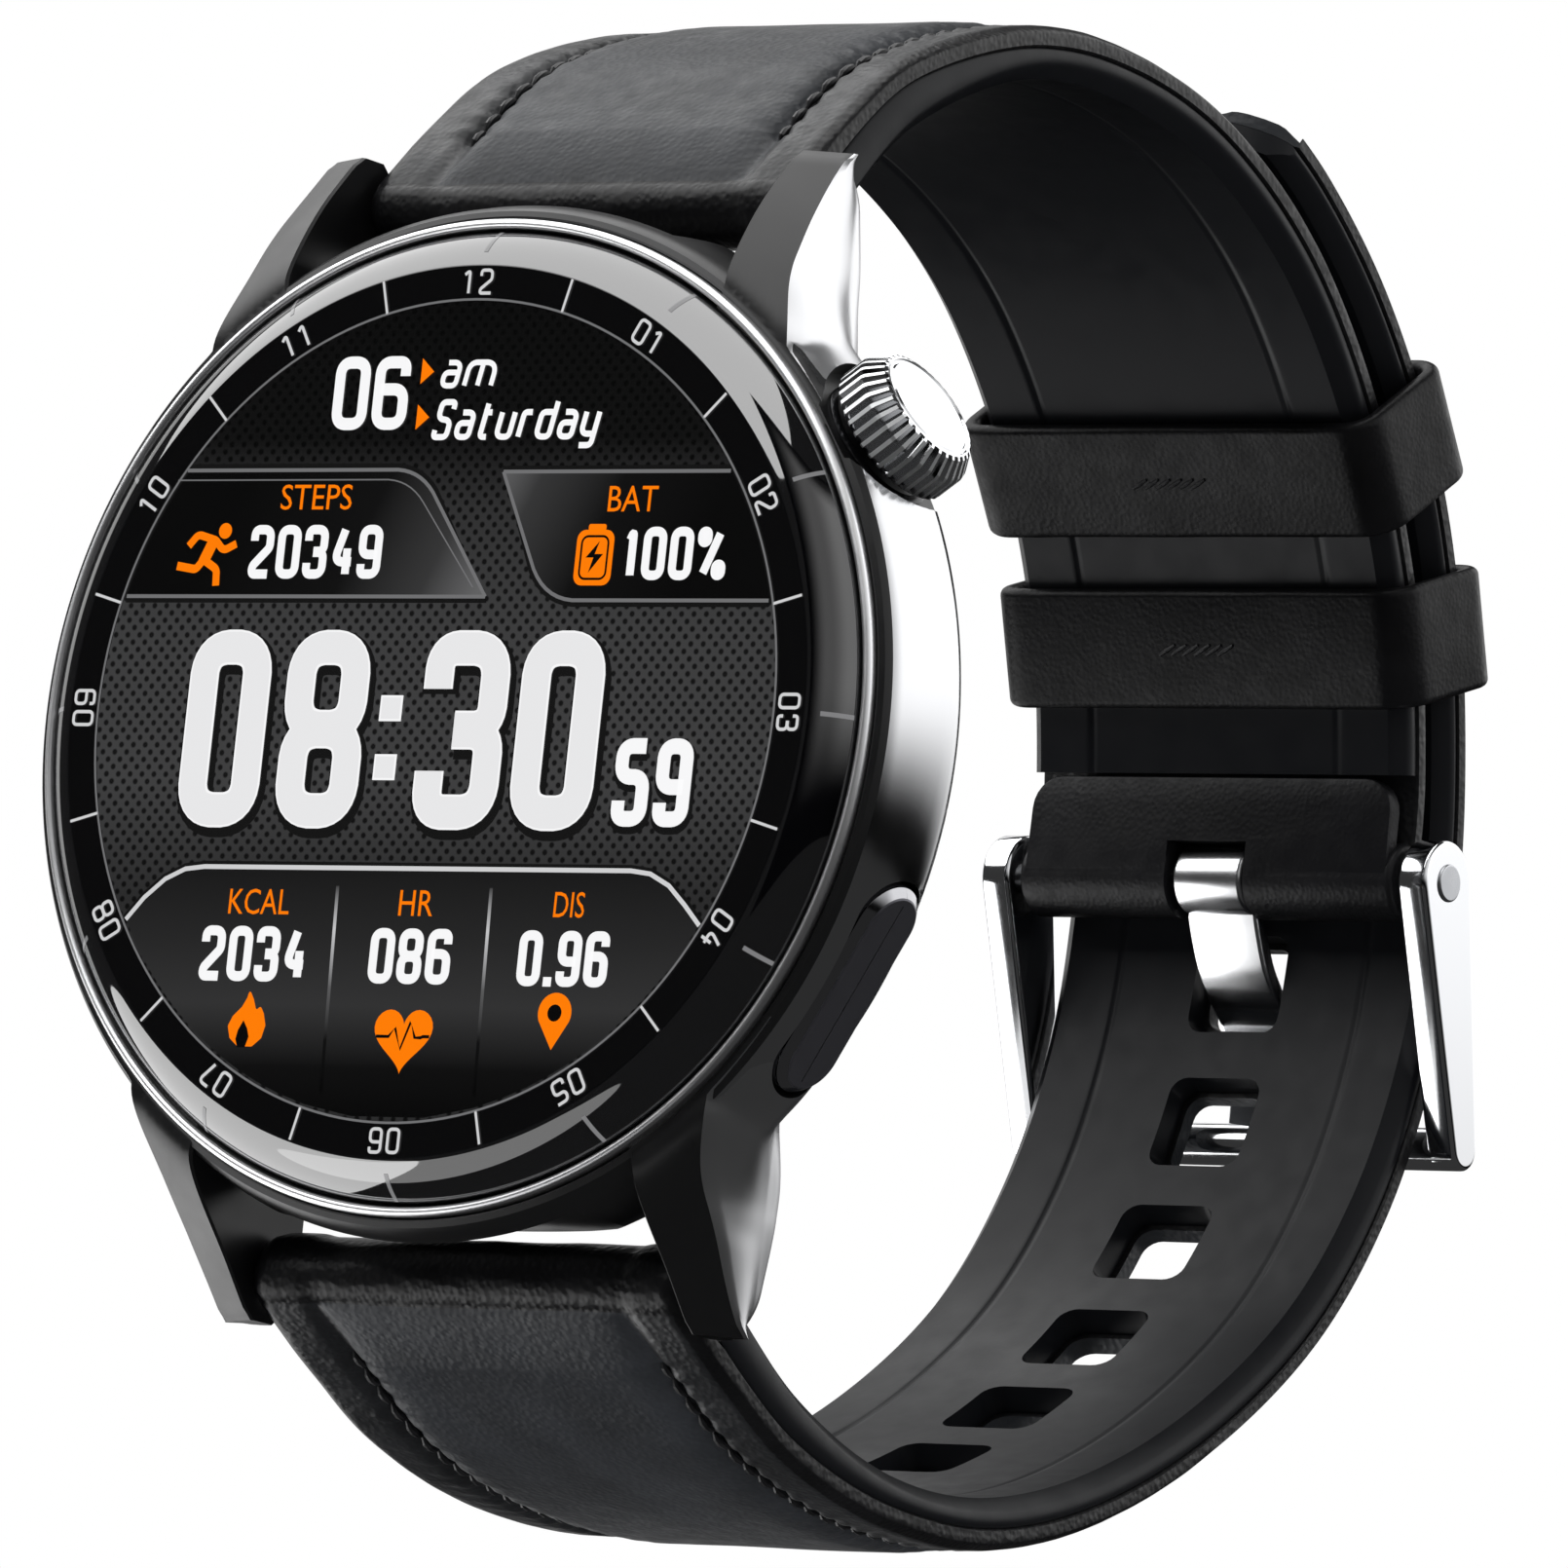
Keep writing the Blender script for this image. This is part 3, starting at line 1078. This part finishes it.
# ---------------------------------------------------------------- the display
# A glyph is a list of strokes, each (points, closed), in a box 1 wide and 2 high.
DIAL_STEP = 0.012
DISK_R = 18.9
RIM_R = 17.45
FIELD_R = 17.4
PANEL_R = 17.3
GLYPHS = {
    "0": [([(0, 0), (0, 2), (1, 2), (1, 0)], True)],
    "1": [([(0.1, 1.62), (0.55, 2), (0.55, 0)], False)],
    "2": [([(0, 1.5), (0, 2), (1, 2), (1, 1.2), (0, 0.35), (0, 0), (1, 0)], False)],
    "3": [([(0, 1.5), (0, 2), (1, 2), (1, 1.02), (0.35, 1.02)], False),
          ([(0.35, 0.98), (1, 0.98), (1, 0), (0, 0), (0, 0.5)], False)],
    "4": [([(0.55, 2), (0, 0.55), (1.08, 0.55)], False), ([(0.78, 1.15), (0.78, 0)], False)],
    "5": [([(1, 2), (0, 2), (0, 1.15), (1, 1.15), (1, 0), (0, 0), (0, 0.5)], False)],
    "6": [([(1, 1.55), (1, 2), (0, 2), (0, 0), (1, 0), (1, 1.12), (0.05, 1.12)], False)],
    "7": [([(0, 2), (1, 2), (0.35, 0)], False)],
    "8": [([(0, 1.02), (0, 2), (1, 2), (1, 1.02)], True), ([(0, 0), (0, 0.98), (1, 0.98), (1, 0)], True)],
    "9": [([(0, 0.45), (0, 0), (1, 0), (1, 2), (0, 2), (0, 0.88), (0.95, 0.88)], False)],
    "%": [([(0, 1.5), (0, 2), (0.3, 2), (0.3, 1.5)], True),
          ([(0.75, 0), (0.75, 0.5), (1.05, 0.5), (1.05, 0)], True), ([(0.85, 1.9), (0.2, 0.1)], False)],
    "S": [([(1, 1.6), (1, 2), (0, 2), (0, 1.05), (1, 0.95), (1, 0), (0, 0), (0, 0.4)], False)],
    "a": [([(0.1, 1.4), (1, 1.4), (1, 0), (0, 0), (0, 0.8), (0.95, 0.8)], False)],
    "t": [([(0.25, 1.9), (0.25, 0), (0.95, 0)], False), ([(0, 1.4), (0.9, 1.4)], False)],
    "u": [([(0, 1.4), (0, 0), (1, 0), (1, 1.4)], False)],
    "r": [([(0, 0), (0, 1.4), (0.95, 1.4)], False)],
    "d": [([(1, 0.6), (1, 0), (0, 0), (0, 1.4), (0.95, 1.4)], False), ([(1, 2), (1, 0.5)], False)],
    "y": [([(0, 1.4), (0, 0.15), (0.95, 0.15)], False), ([(1, 1.4), (1, -0.5), (0.1, -0.5)], False)],
    "m": [([(0, 0), (0, 1.4), (1, 1.4), (1, 0)], False), ([(0.5, 1.35), (0.5, 0)], False)],
}
WIDTHS = {".": 0.35, "1": 0.62, "%": 1.25, "m": 1.7, "t": 0.8, "r": 0.75}


def screen_gradient(name, direction, low, high, stops):
    """A display colour that changes along one direction of the dial; stops are (position, grey)."""
    made = material(name, (0.001, 0.001, 0.001), 0.08, Emission_Strength=1.0)
    tree = made.node_tree
    dot = tree.nodes.new("ShaderNodeVectorMath")
    dot.operation = "DOT_PRODUCT"
    dot.inputs[1].default_value = (direction[0], 0, direction[1])
    tree.links.new(object_coords(tree), dot.inputs[0])
    span = map_range(tree, From_Min=low * MM, From_Max=high * MM)
    tree.links.new(dot.outputs["Value"], span.inputs["Value"])
    ramp = color_ramp(tree, [(position, (grey, grey, grey * 1.02)) for position, grey in stops])
    tree.links.new(span.outputs["Result"], ramp.inputs["Fac"])
    tree.links.new(ramp.outputs["Color"], tree.nodes["Principled BSDF"].inputs["Emission Color"])
    return made


def mesh_material():
    """Dark perforated background: staggered dots on a grey that fades towards the top."""
    greys = [(0.0, 0.022), (0.2, 0.048), (0.45, 0.045), (0.66, 0.028), (0.78, 0.004), (1.0, 0.002)]
    made = screen_gradient("screen_mesh", (0, 1), -8, 17, greys)
    tree = made.node_tree
    place = tree.nodes.new("ShaderNodeMapping")
    place.inputs["Rotation"].default_value = (math.radians(-90), 0, math.radians(45))
    place.inputs["Scale"].default_value = (2250, 2250, 2250)
    tree.links.new(object_coords(tree), place.inputs["Vector"])
    cells = tree.nodes.new("ShaderNodeTexVoronoi")
    cells.voronoi_dimensions = "2D"
    cells.inputs["Scale"].default_value = 1.0
    cells.inputs["Randomness"].default_value = 0.0
    tree.links.new(place.outputs["Vector"], cells.inputs["Vector"])
    dots = color_ramp(tree, [(0.2, (0.12, 0.12, 0.12)), (0.36, (1, 1, 1))])
    tree.links.new(cells.outputs["Distance"], dots.inputs["Fac"])
    both = tree.nodes.new("ShaderNodeMix")
    both.data_type = "RGBA"
    both.blend_type = "MULTIPLY"
    both.inputs["Factor"].default_value = 1.0
    shader = tree.nodes["Principled BSDF"]
    tree.links.new(shader.inputs["Emission Color"].links[0].from_socket, both.inputs["A"])
    tree.links.new(dots.outputs["Color"], both.inputs["B"])
    tree.links.new(both.outputs["Result"], shader.inputs["Emission Color"])
    return made


def add_to_screen(name, verts, faces, mat):
    """A display piece whose faces all look out through the glass."""
    piece = add_piece(name, verts, faces, [mat])
    for face in piece.data.polygons:
        if face.normal.y > 0:
            face.flip()
    ride(piece, "case", "screen")


class Flat:
    """Collects flat shapes at stepped heights above the glass and makes one piece of them."""

    def __init__(self):
        self.verts = []
        self.faces = []
        self.turn = (0, 0, 0)

    def at(self, x, z, level):
        cx, cz, angle = self.turn
        cos, sin = math.cos(angle), math.sin(angle)
        self.verts.append((cx + x * cos + z * sin, GLASS_TOP_Y - level * DIAL_STEP, cz - x * sin + z * cos))
        return len(self.verts) - 1

    def polygon(self, points, level):
        self.faces.append(tuple(self.at(x, z, level) for x, z in points))

    def ribbon(self, points, width, level, closed=False):
        pts = [np.array(p, float) for p in points]
        count = len(pts)
        left, right = [], []
        for k, p in enumerate(pts):
            before = pts[k - 1] if closed or k else p
            after = pts[(k + 1) % count] if closed or k < count - 1 else p
            t = (after - before) / np.linalg.norm(after - before)
            n = np.array([-t[1], t[0]])
            left.append(self.at(*(p + n * width / 2), level))
            right.append(self.at(*(p - n * width / 2), level))
        for k in range(count if closed else count - 1):
            j = (k + 1) % count
            self.faces.append((left[k], right[k], right[j], left[j]))

    def glyph(self, mark, x, z, w, h, stroke, level, grow=0.0, lean=0.0):
        """One character whose box has its lower left corner at x, z."""
        if mark == ".":
            dot_x = x + stroke / 2
            self.ribbon([(dot_x, z), (dot_x, z + stroke * 0.95)], stroke + 2 * grow, level)
            return
        for n, (points, closed) in enumerate(GLYPHS[mark]):
            line = []
            for gx, gz in points:
                rise = stroke / 2 + gz / 2 * (h - stroke)
                line.append((x + stroke / 2 + gx * (w - stroke) + lean * rise, z + rise))
            line = fillet(line, max(stroke * 0.72, 0.26 * w), closed)
            self.ribbon(line, stroke + 2 * grow, level + 0.1 * n, closed)

    def row(self, words, x0, x1, z, h, stroke, level=6, grow=0.0, gap=0.16, lean=0.0, widths=WIDTHS):
        """A row of characters that fills x0 to x1."""
        shares = [widths.get(c, 1.0) for c in words]
        w = (x1 - x0) / (sum(shares) + gap * (len(words) - 1))
        x = x0
        for c, share in zip(words, shares):
            self.glyph(c, x, z, w * share, h, stroke, level, grow, lean)
            x += w * (share + gap)

    def caption(self, words, x0, x1, z0, z1, level):
        """Generic words in Blender's own font, fitted to a box."""
        curve = bpy.data.curves.new("words", "FONT")
        curve.body = words
        curve.resolution_u = 3
        holder = bpy.data.objects.new("words", curve)
        data = bpy.data.meshes.new_from_object(holder)
        xy = np.array([v.co[:2] for v in data.vertices], float)
        low, high = xy.min(0), xy.max(0)
        first = len(self.verts)
        for u, v in (xy - low) / (high - low):
            self.at(mix(x0, x1, u), mix(z0, z1, v), level)
        self.faces += [tuple(first + v for v in face.vertices) for face in data.polygons]
        bpy.data.objects.remove(holder)
        bpy.data.curves.remove(curve)
        bpy.data.meshes.remove(data)

    def make(self, name, mat):
        add_to_screen(name, self.verts, self.faces, mat)


def make_polygon(name, points, level, mat):
    shape = Flat()
    shape.polygon(points, level)
    shape.make(name, mat)


def along_circle(z_from, z_to, side, count=14):
    """Points of the panels' outer circle between two heights, on one side of the dial."""
    heights = [mix(z_from, z_to, k / count) for k in range(count + 1)]
    return [(side * math.sqrt(max(PANEL_R ** 2 - z * z, 0.0)), z) for z in heights]


def spoke(angle, *radii):
    return [(r * math.sin(angle), r * math.cos(angle)) for r in radii]


BIG_DIGITS = (("0", -12.75, 4.25), ("8", -7.65, 4.3), ("3", -0.5, 4.4), ("0", 4.5, 4.25))
BIG_Z, BIG_H, BIG_STROKE = -5.08, 8.45, 1.5
LEFT_PANEL = fillet([(-14.1, 10.2), (-1.85, 10.2), (2.15, 4.8)], 2.4)
RIGHT_PANEL = [(2.4, 10.1)] + fillet([(2.4, 10.1), (5.15, 4.65), (16.6, 4.65)], 2.4)[1:]
LOW_PANEL = [(-14.75, -9.05), (-13.9, -8.1), (-12.9, -7.3), (-11.9, -6.86), (-10.9, -6.75), (11.1, -6.7),
             (12.1, -6.82), (13.1, -7.3), (14.0, -8.1), (14.85, -8.95)]


def build_panels():
    left = LEFT_PANEL + along_circle(4.8, 10.2, -1)
    right = RIGHT_PANEL + along_circle(4.65, 10.1, 1)
    low = LOW_PANEL + along_circle(-8.95, -17.2, 1, 18) + along_circle(-9.05, -17.2, -1, 18)[::-1]
    make_polygon("dial_black", circle(0, 0, DISK_R, 180), 1, SCREEN_BLACK)
    make_polygon("dial_mesh", circle(0, 0, FIELD_R, 180), 2, mesh_material())

    shade = Flat()
    for outline in (left, right):
        shade.ribbon(outline, 0.55, 3, closed=True)
    shade.ribbon(LOW_PANEL, 0.5, 3)
    for mark, x, w in BIG_DIGITS:
        shade.glyph(mark, x + 0.12, BIG_Z - 0.22, w, BIG_H, BIG_STROKE, 3.5, 0.2)
    shade.row("59", 9.8, 13.75, -5.05, 3.7, 0.62, 3.5, 0.12)
    shade.make("dial_shadows", SCREEN_SHADOW)

    panels = (("left", left, (0.9, -0.43), -14, -0.6,
               [(0.0, 0.001), (0.5, 0.004), (0.8, 0.035), (1.0, 0.12)]),
              ("right", right, (-0.9, 0.43), -8.5, 2.5,
               [(0.0, 0.001), (0.45, 0.004), (0.8, 0.035), (1.0, 0.12)]),
              ("low", low, (0, 1), -17.3, -6.7,
               [(0.0, 0.0005), (0.2, 0.003), (0.45, 0.03), (0.7, 0.018), (1.0, 0.008)]))
    for side, outline, *gradient in panels:
        make_polygon("dial_panel_" + side, outline, 4, screen_gradient("panel_" + side, *gradient))


def build_lines():
    lines = Flat()
    for line in (LEFT_PANEL, [(-16.6, 4.8), (2.15, 4.8)], RIGHT_PANEL, [(2.4, 10.1), (14.0, 10.1)]):
        lines.ribbon(line, 0.16, 5)
    *inner, (end_x, end_z) = LEFT_PANEL
    lines.ribbon([(x - 0.45, z - 0.42) for x, z in inner] + [(end_x - 0.7, end_z + 0.4)], 0.06, 5)
    lines.ribbon(circle(0, 0, RIM_R, 180), 0.10, 6, closed=True)
    lines.make("dial_grey_lines", SCREEN_GREY)

    bright = Flat()
    bright.ribbon(LOW_PANEL, 0.2, 5)
    for hour in range(12):
        bright.ribbon(spoke(TURN * (hour + 0.5) / 12, RIM_R, DISK_R), 0.12, 6)
        angle = TURN * hour / 12
        bright.turn = (*spoke(angle, 18.2)[0], angle)
        bright.row("%02d" % (hour or 12), -0.8, 0.8, -0.56, 1.12, 0.14, gap=0.3, widths={})
        bright.turn = (0, 0, 0)
    bright.make("dial_light_lines", SCREEN_LINE)

    top_z, low_z = -7.5, -16.2
    for side, x_top, x_low in (("left", -3.84, -3.56), ("right", 4.09, 4.34)):
        name = "dial_divider_" + side
        bar = Flat()
        bar.ribbon([(mix(x_top, x_low, t), mix(top_z, low_z, t)) for t in (0, 0.5, 1)], 0.16, 5)
        bar.make(name, screen_gradient(name, (0, 1), low_z, top_z + 0.1,
                                       [(0.0, 0.0), (0.25, 0.004), (0.5, 0.10), (0.78, 0.55), (1.0, 0.02)]))


def build_digits():
    """The numbers; the big ones have a bright rim round a slightly greyer core."""
    rim, core = Flat(), Flat()
    for flat, g, level in ((rim, 0, 6), (core, 0.09, 7)):
        for mark, x, w in BIG_DIGITS:
            flat.glyph(mark, x + g, BIG_Z + g, w - 2 * g, BIG_H - 2 * g, BIG_STROKE - 2 * g, level)
        for z in (-3.0, -0.5):
            x0, x1, z0, z1 = -2.65 + g, -1.5 - g, z + g, z + 1.1 - g
            flat.polygon([(x0, z0), (x1, z0), (x1, z1), (x0, z1)], level)
    rim.row("59", 9.76, 13.68, -4.86, 3.72, 0.66)
    rim.row("06", -6.85, -2.95, 11.9, 3.15, 0.52, gap=0.14)
    rim.row("20349", -10.35, -3.45, 5.55, 2.3, 0.40)
    rim.row("100%", 9.05, 14.2, 5.5, 2.25, 0.40)
    for words, x0, x1 in (("2034", -10.6, -5.05), ("086", -1.8, 2.4), ("0.96", 5.85, 10.45)):
        rim.row(words, x0, x1, -11.6, 2.35, 0.42)
    rim.row("am", -1.45, 1.35, 13.65, 1.65, 0.24, gap=0.24, lean=0.22)
    rim.row("Saturday", -1.6, 6.9, 11.45, 1.75, 0.26, gap=0.24, lean=0.22)
    rim.make("dial_white", SCREEN_WHITE)
    core.make("dial_digits", SCREEN_DIGIT)


BATTERY = (7.52, 6.45)
PIN_EYE = (8.02, -12.7)


def box_at(cx, cz, w, h, r):
    return [(cx + x, cz + z) for x, z in rounded_rect(w, h, r, 5)]


def heart_point(t):
    rise = 13 * math.cos(t) - 5 * math.cos(2 * t) - 2 * math.cos(3 * t) - math.cos(4 * t)
    return 0.38 + 1.5 * math.sin(t) ** 3, -13.8 + 0.094 * rise


def build_signs():
    """Captions and plain generic signs: a runner, a battery, a flame, a heart and a map pin."""
    glow = Flat()
    for words, x0, x1, z in (("STEPS", -9.0, -5.3, 8.5), ("BAT", 7.95, 10.45, 8.4),
                             ("KCAL", -9.4, -6.25, -8.75), ("HR", -0.55, 1.2, -8.72),
                             ("DIS", 7.4, 8.95, -8.7)):
        glow.caption(words, x0, x1, z, z + 1.08, 6)
    for z0, z1, z2 in ((13.85, 14.38, 14.95), (11.9, 12.43, 12.98)):
        glow.polygon([(-2.4, z0), (-1.75, z1), (-2.4, z2)], 6)
    glow.polygon(circle(-11.75, 7.6, 0.34, 20), 6)
    for points, radius, width, level in (
            ([(-13.6, 6.95), (-13.15, 7.45), (-12.2, 7.2), (-11.75, 6.75), (-11.1, 7.05)], 0.3, 0.34, 6),
            ([(-12.3, 7.2), (-12.75, 6.25)], 0.0, 0.55, 6.1),
            ([(-12.75, 6.35), (-13.1, 5.95), (-14.1, 6.1)], 0.25, 0.36, 6.2),
            ([(-12.7, 6.35), (-12.0, 5.95), (-11.95, 5.25)], 0.3, 0.36, 6.3)):
        glow.ribbon(fillet(points, radius), width, level)
    glow.polygon(box_at(*BATTERY, 1.9, 2.35, 0.42), 6)
    glow.polygon(box_at(7.55, 7.72, 0.9, 0.3, 0.1), 6)
    flame = [(-7.8, -11.95), (-7.55, -12.35), (-7.36, -12.84), (-7.16, -12.62), (-6.95, -12.95),
             (-6.8, -13.45), (-6.95, -14.0), (-7.4, -14.36), (-8.15, -14.36), (-8.6, -14.02), (-8.76, -13.5),
             (-8.55, -13.08), (-8.12, -12.68), (-7.9, -12.3)]
    glow.polygon(fillet(flame, 0.14, True), 6)
    glow.polygon([heart_point(TURN * k / 48) for k in range(48)], 6)
    glow.polygon(arc(*PIN_EYE, 0.85, -25, 203, 19) + [(PIN_EYE[0], -14.25)], 6)
    glow.make("dial_orange", SCREEN_ORANGE)

    dark = Flat()
    dark.polygon([(7.75, 7.15), (7.1, 6.45), (7.5, 6.45), (7.3, 5.8), (7.98, 6.6), (7.55, 6.6)], 7)
    dark.ribbon(box_at(*BATTERY, 1.35, 1.8, 0.3), 0.1, 7, closed=True)
    pulse = [(-1.0, -13.82), (-0.35, -13.82), (-0.05, -13.45), (0.3, -14.35), (0.72, -13.2), (1.0, -13.85),
             (1.3, -13.85), (1.42, -13.8), (1.75, -13.8)]
    dark.ribbon(pulse, 0.14, 7)
    dark.polygon(circle(*PIN_EYE, 0.36, 20), 7)
    dark.polygon([(-7.96, -13.25), (-7.72, -13.6), (-7.6, -13.95), (-7.75, -14.4), (-8.15, -14.4),
                  (-8.28, -14.05), (-8.2, -13.68)], 7)
    dark.make("dial_icon_details", SCREEN_BLACK)


def build_rim_ticks():
    """Faint hour marks printed under the glass's rounded edge."""
    verts, faces = [], []
    count, half = 8, 0.1
    for angle in (TURN * k / 12 for k in range(12)):
        first = len(verts)
        for j in range(count):
            r, y = dome_point(mix(0.3, 0.95, j / (count - 1)))
            x, z = spoke(angle, r + 0.006)[0]
            for side in (-half, half):
                verts.append((x + side * math.cos(angle), y - 0.012, z - side * math.sin(angle)))
        for a in range(first, first + 2 * count - 2, 2):
            faces.append((a, a + 1, a + 3, a + 2))
    add_to_screen("dial_rim_ticks", verts, faces, SCREEN_FAINT)


build_panels()
build_lines()
build_digits()
build_signs()
build_rim_ticks()

# ---------------------------------------------------------------- floor, light and camera
FLOOR_Z = -0.118
FLOOR_HALF = 3.0
ROOM_R = 2.9
WALL_R = 0.9


def build_stage():
    """A pale floor, in a white room seen only by the camera, so that the metal still has dark to reflect."""
    data = bpy.data.meshes.new("floor")
    corners = [(x * FLOOR_HALF, y * FLOOR_HALF, FLOOR_Z) for x, y in ((-1, -1), (1, -1), (1, 1), (-1, 1))]
    data.from_pydata(corners, [], [(0, 1, 2, 3)])
    data.materials.append(material("pale_floor", (0.86, 0.86, 0.87), 0.6))
    floor = link_object("floor", data)
    floor.visible_glossy = False
    work = bmesh.new()
    bmesh.ops.create_icosphere(work, subdivisions=4, radius=ROOM_R)
    data = bpy.data.meshes.new("room")
    work.to_mesh(data)
    work.free()
    data.materials.append(emitter("white_room", 1.0))
    room = link_object("room", data)
    for ray in ("diffuse", "glossy", "transmission", "volume_scatter", "shadow"):
        setattr(room, "visible_" + ray, False)


def area_light(name, direction, distance, size, radiance):
    """A soft box that faces the watch from a direction in the part's frame, of an even brightness."""
    lamp = bpy.data.lights.new(name, "AREA")
    lamp.shape = "ELLIPSE"
    lamp.size, lamp.size_y = size
    lamp.energy = radiance * math.pi * size[0] * size[1]
    light = link_object(name, lamp)
    away = Vector(direction).normalized()
    light.location = Vector((0, 0.01, 0)) + away * distance
    light.rotation_euler = away.to_track_quat("Z", "Y").to_euler()


def wall_glow(turn, rise):
    """Brightness of the light wall at a place, in degrees round and up: it has soft edges and two steps."""
    height = smooth(rise, -6, 14) * (1 - smooth(rise, 46, 51))
    sweep = 0.25 * smooth(turn, -78, -55) + 0.25 * smooth(turn, -48, -20) + 0.5 * smooth(turn, 0, 22)
    return height * sweep * (1 - smooth(turn, 100, 111))


def build_light_wall():
    """A wide soft-edged light wall on the crown's side; the polished side of the case mirrors it."""
    cols, rows = 72, 36
    turns = [mix(-80, 112, i / (cols - 1)) for i in range(cols)]
    places = [(turn, mix(-14, 52, j / (rows - 1))) for j in range(rows) for turn in turns]
    verts = []
    for a, e in ((math.radians(turn), math.radians(rise)) for turn, rise in places):
        level_r = WALL_R * math.cos(e)
        verts.append((level_r * math.cos(a), level_r * math.sin(a), WALL_R * math.sin(e)))
    data = bpy.data.meshes.new("light_wall")
    data.from_pydata(verts, [], grid_faces(rows, cols))
    layer = data.color_attributes.new("glow", "FLOAT_COLOR", "POINT")
    for item, place in zip(layer.data, places):
        item.color = (*[wall_glow(*place)] * 3, 1)
    data.materials.append(emitter("light_wall", 1.5, vertex_colors="glow"))
    wall = link_object("light_wall", data)
    wall.visible_camera = False
    wall.visible_shadow = False


def build_lights():
    world = bpy.data.worlds.new("studio")
    bpy.context.scene.world = world
    world.use_nodes = True
    background = world.node_tree.nodes["Background"]
    background.inputs["Color"].default_value = (1, 1, 1, 1)
    background.inputs["Strength"].default_value = 0.035
    area_light("top_softbox", (-0.38, -0.30, 0.88), 0.8, (1.7, 1.45), 2.0)
    area_light("low_softbox", (-0.83, -0.18, -0.50), 0.75, (1.1, 0.55), 1.9)
    area_light("low_middle", (-0.45, -0.58, -0.67), 0.72, (0.75, 0.34), 0.7)
    area_light("left_panel", (-0.80, 0.58, 0.14), 0.8, (0.7, 0.9), 0.6)
    build_light_wall()
    bpy.context.scene.view_settings.view_transform = "Standard"


def build_camera():
    """A long lens from the crown's side and a little below, turned by lean about its own line of sight."""
    azimuth, elevation, lean = math.radians(35.37), math.radians(-7.83), math.radians(6.05)
    distance = 0.7093
    aim = Vector((0.00696, 0.00499, -0.00030))
    back = Vector((math.sin(azimuth) * math.cos(elevation), -math.cos(azimuth) * math.cos(elevation),
                   math.sin(elevation)))
    right = Vector((0, 0, 1)).cross(back).normalized()
    up = back.cross(right)
    turned_right = right * math.cos(lean) + up * math.sin(lean)
    turned_up = up * math.cos(lean) - right * math.sin(lean)
    data = bpy.data.cameras.new("camera")
    data.sensor_width = 36
    data.lens = 385.4
    data.clip_start = 0.01
    camera = link_object("camera", data)
    place = Matrix((turned_right, turned_up, back)).transposed().to_4x4()
    place.translation = aim + back * distance
    camera.matrix_world = place
    bpy.context.scene.camera = camera


build_stage()
build_lights()
build_camera()
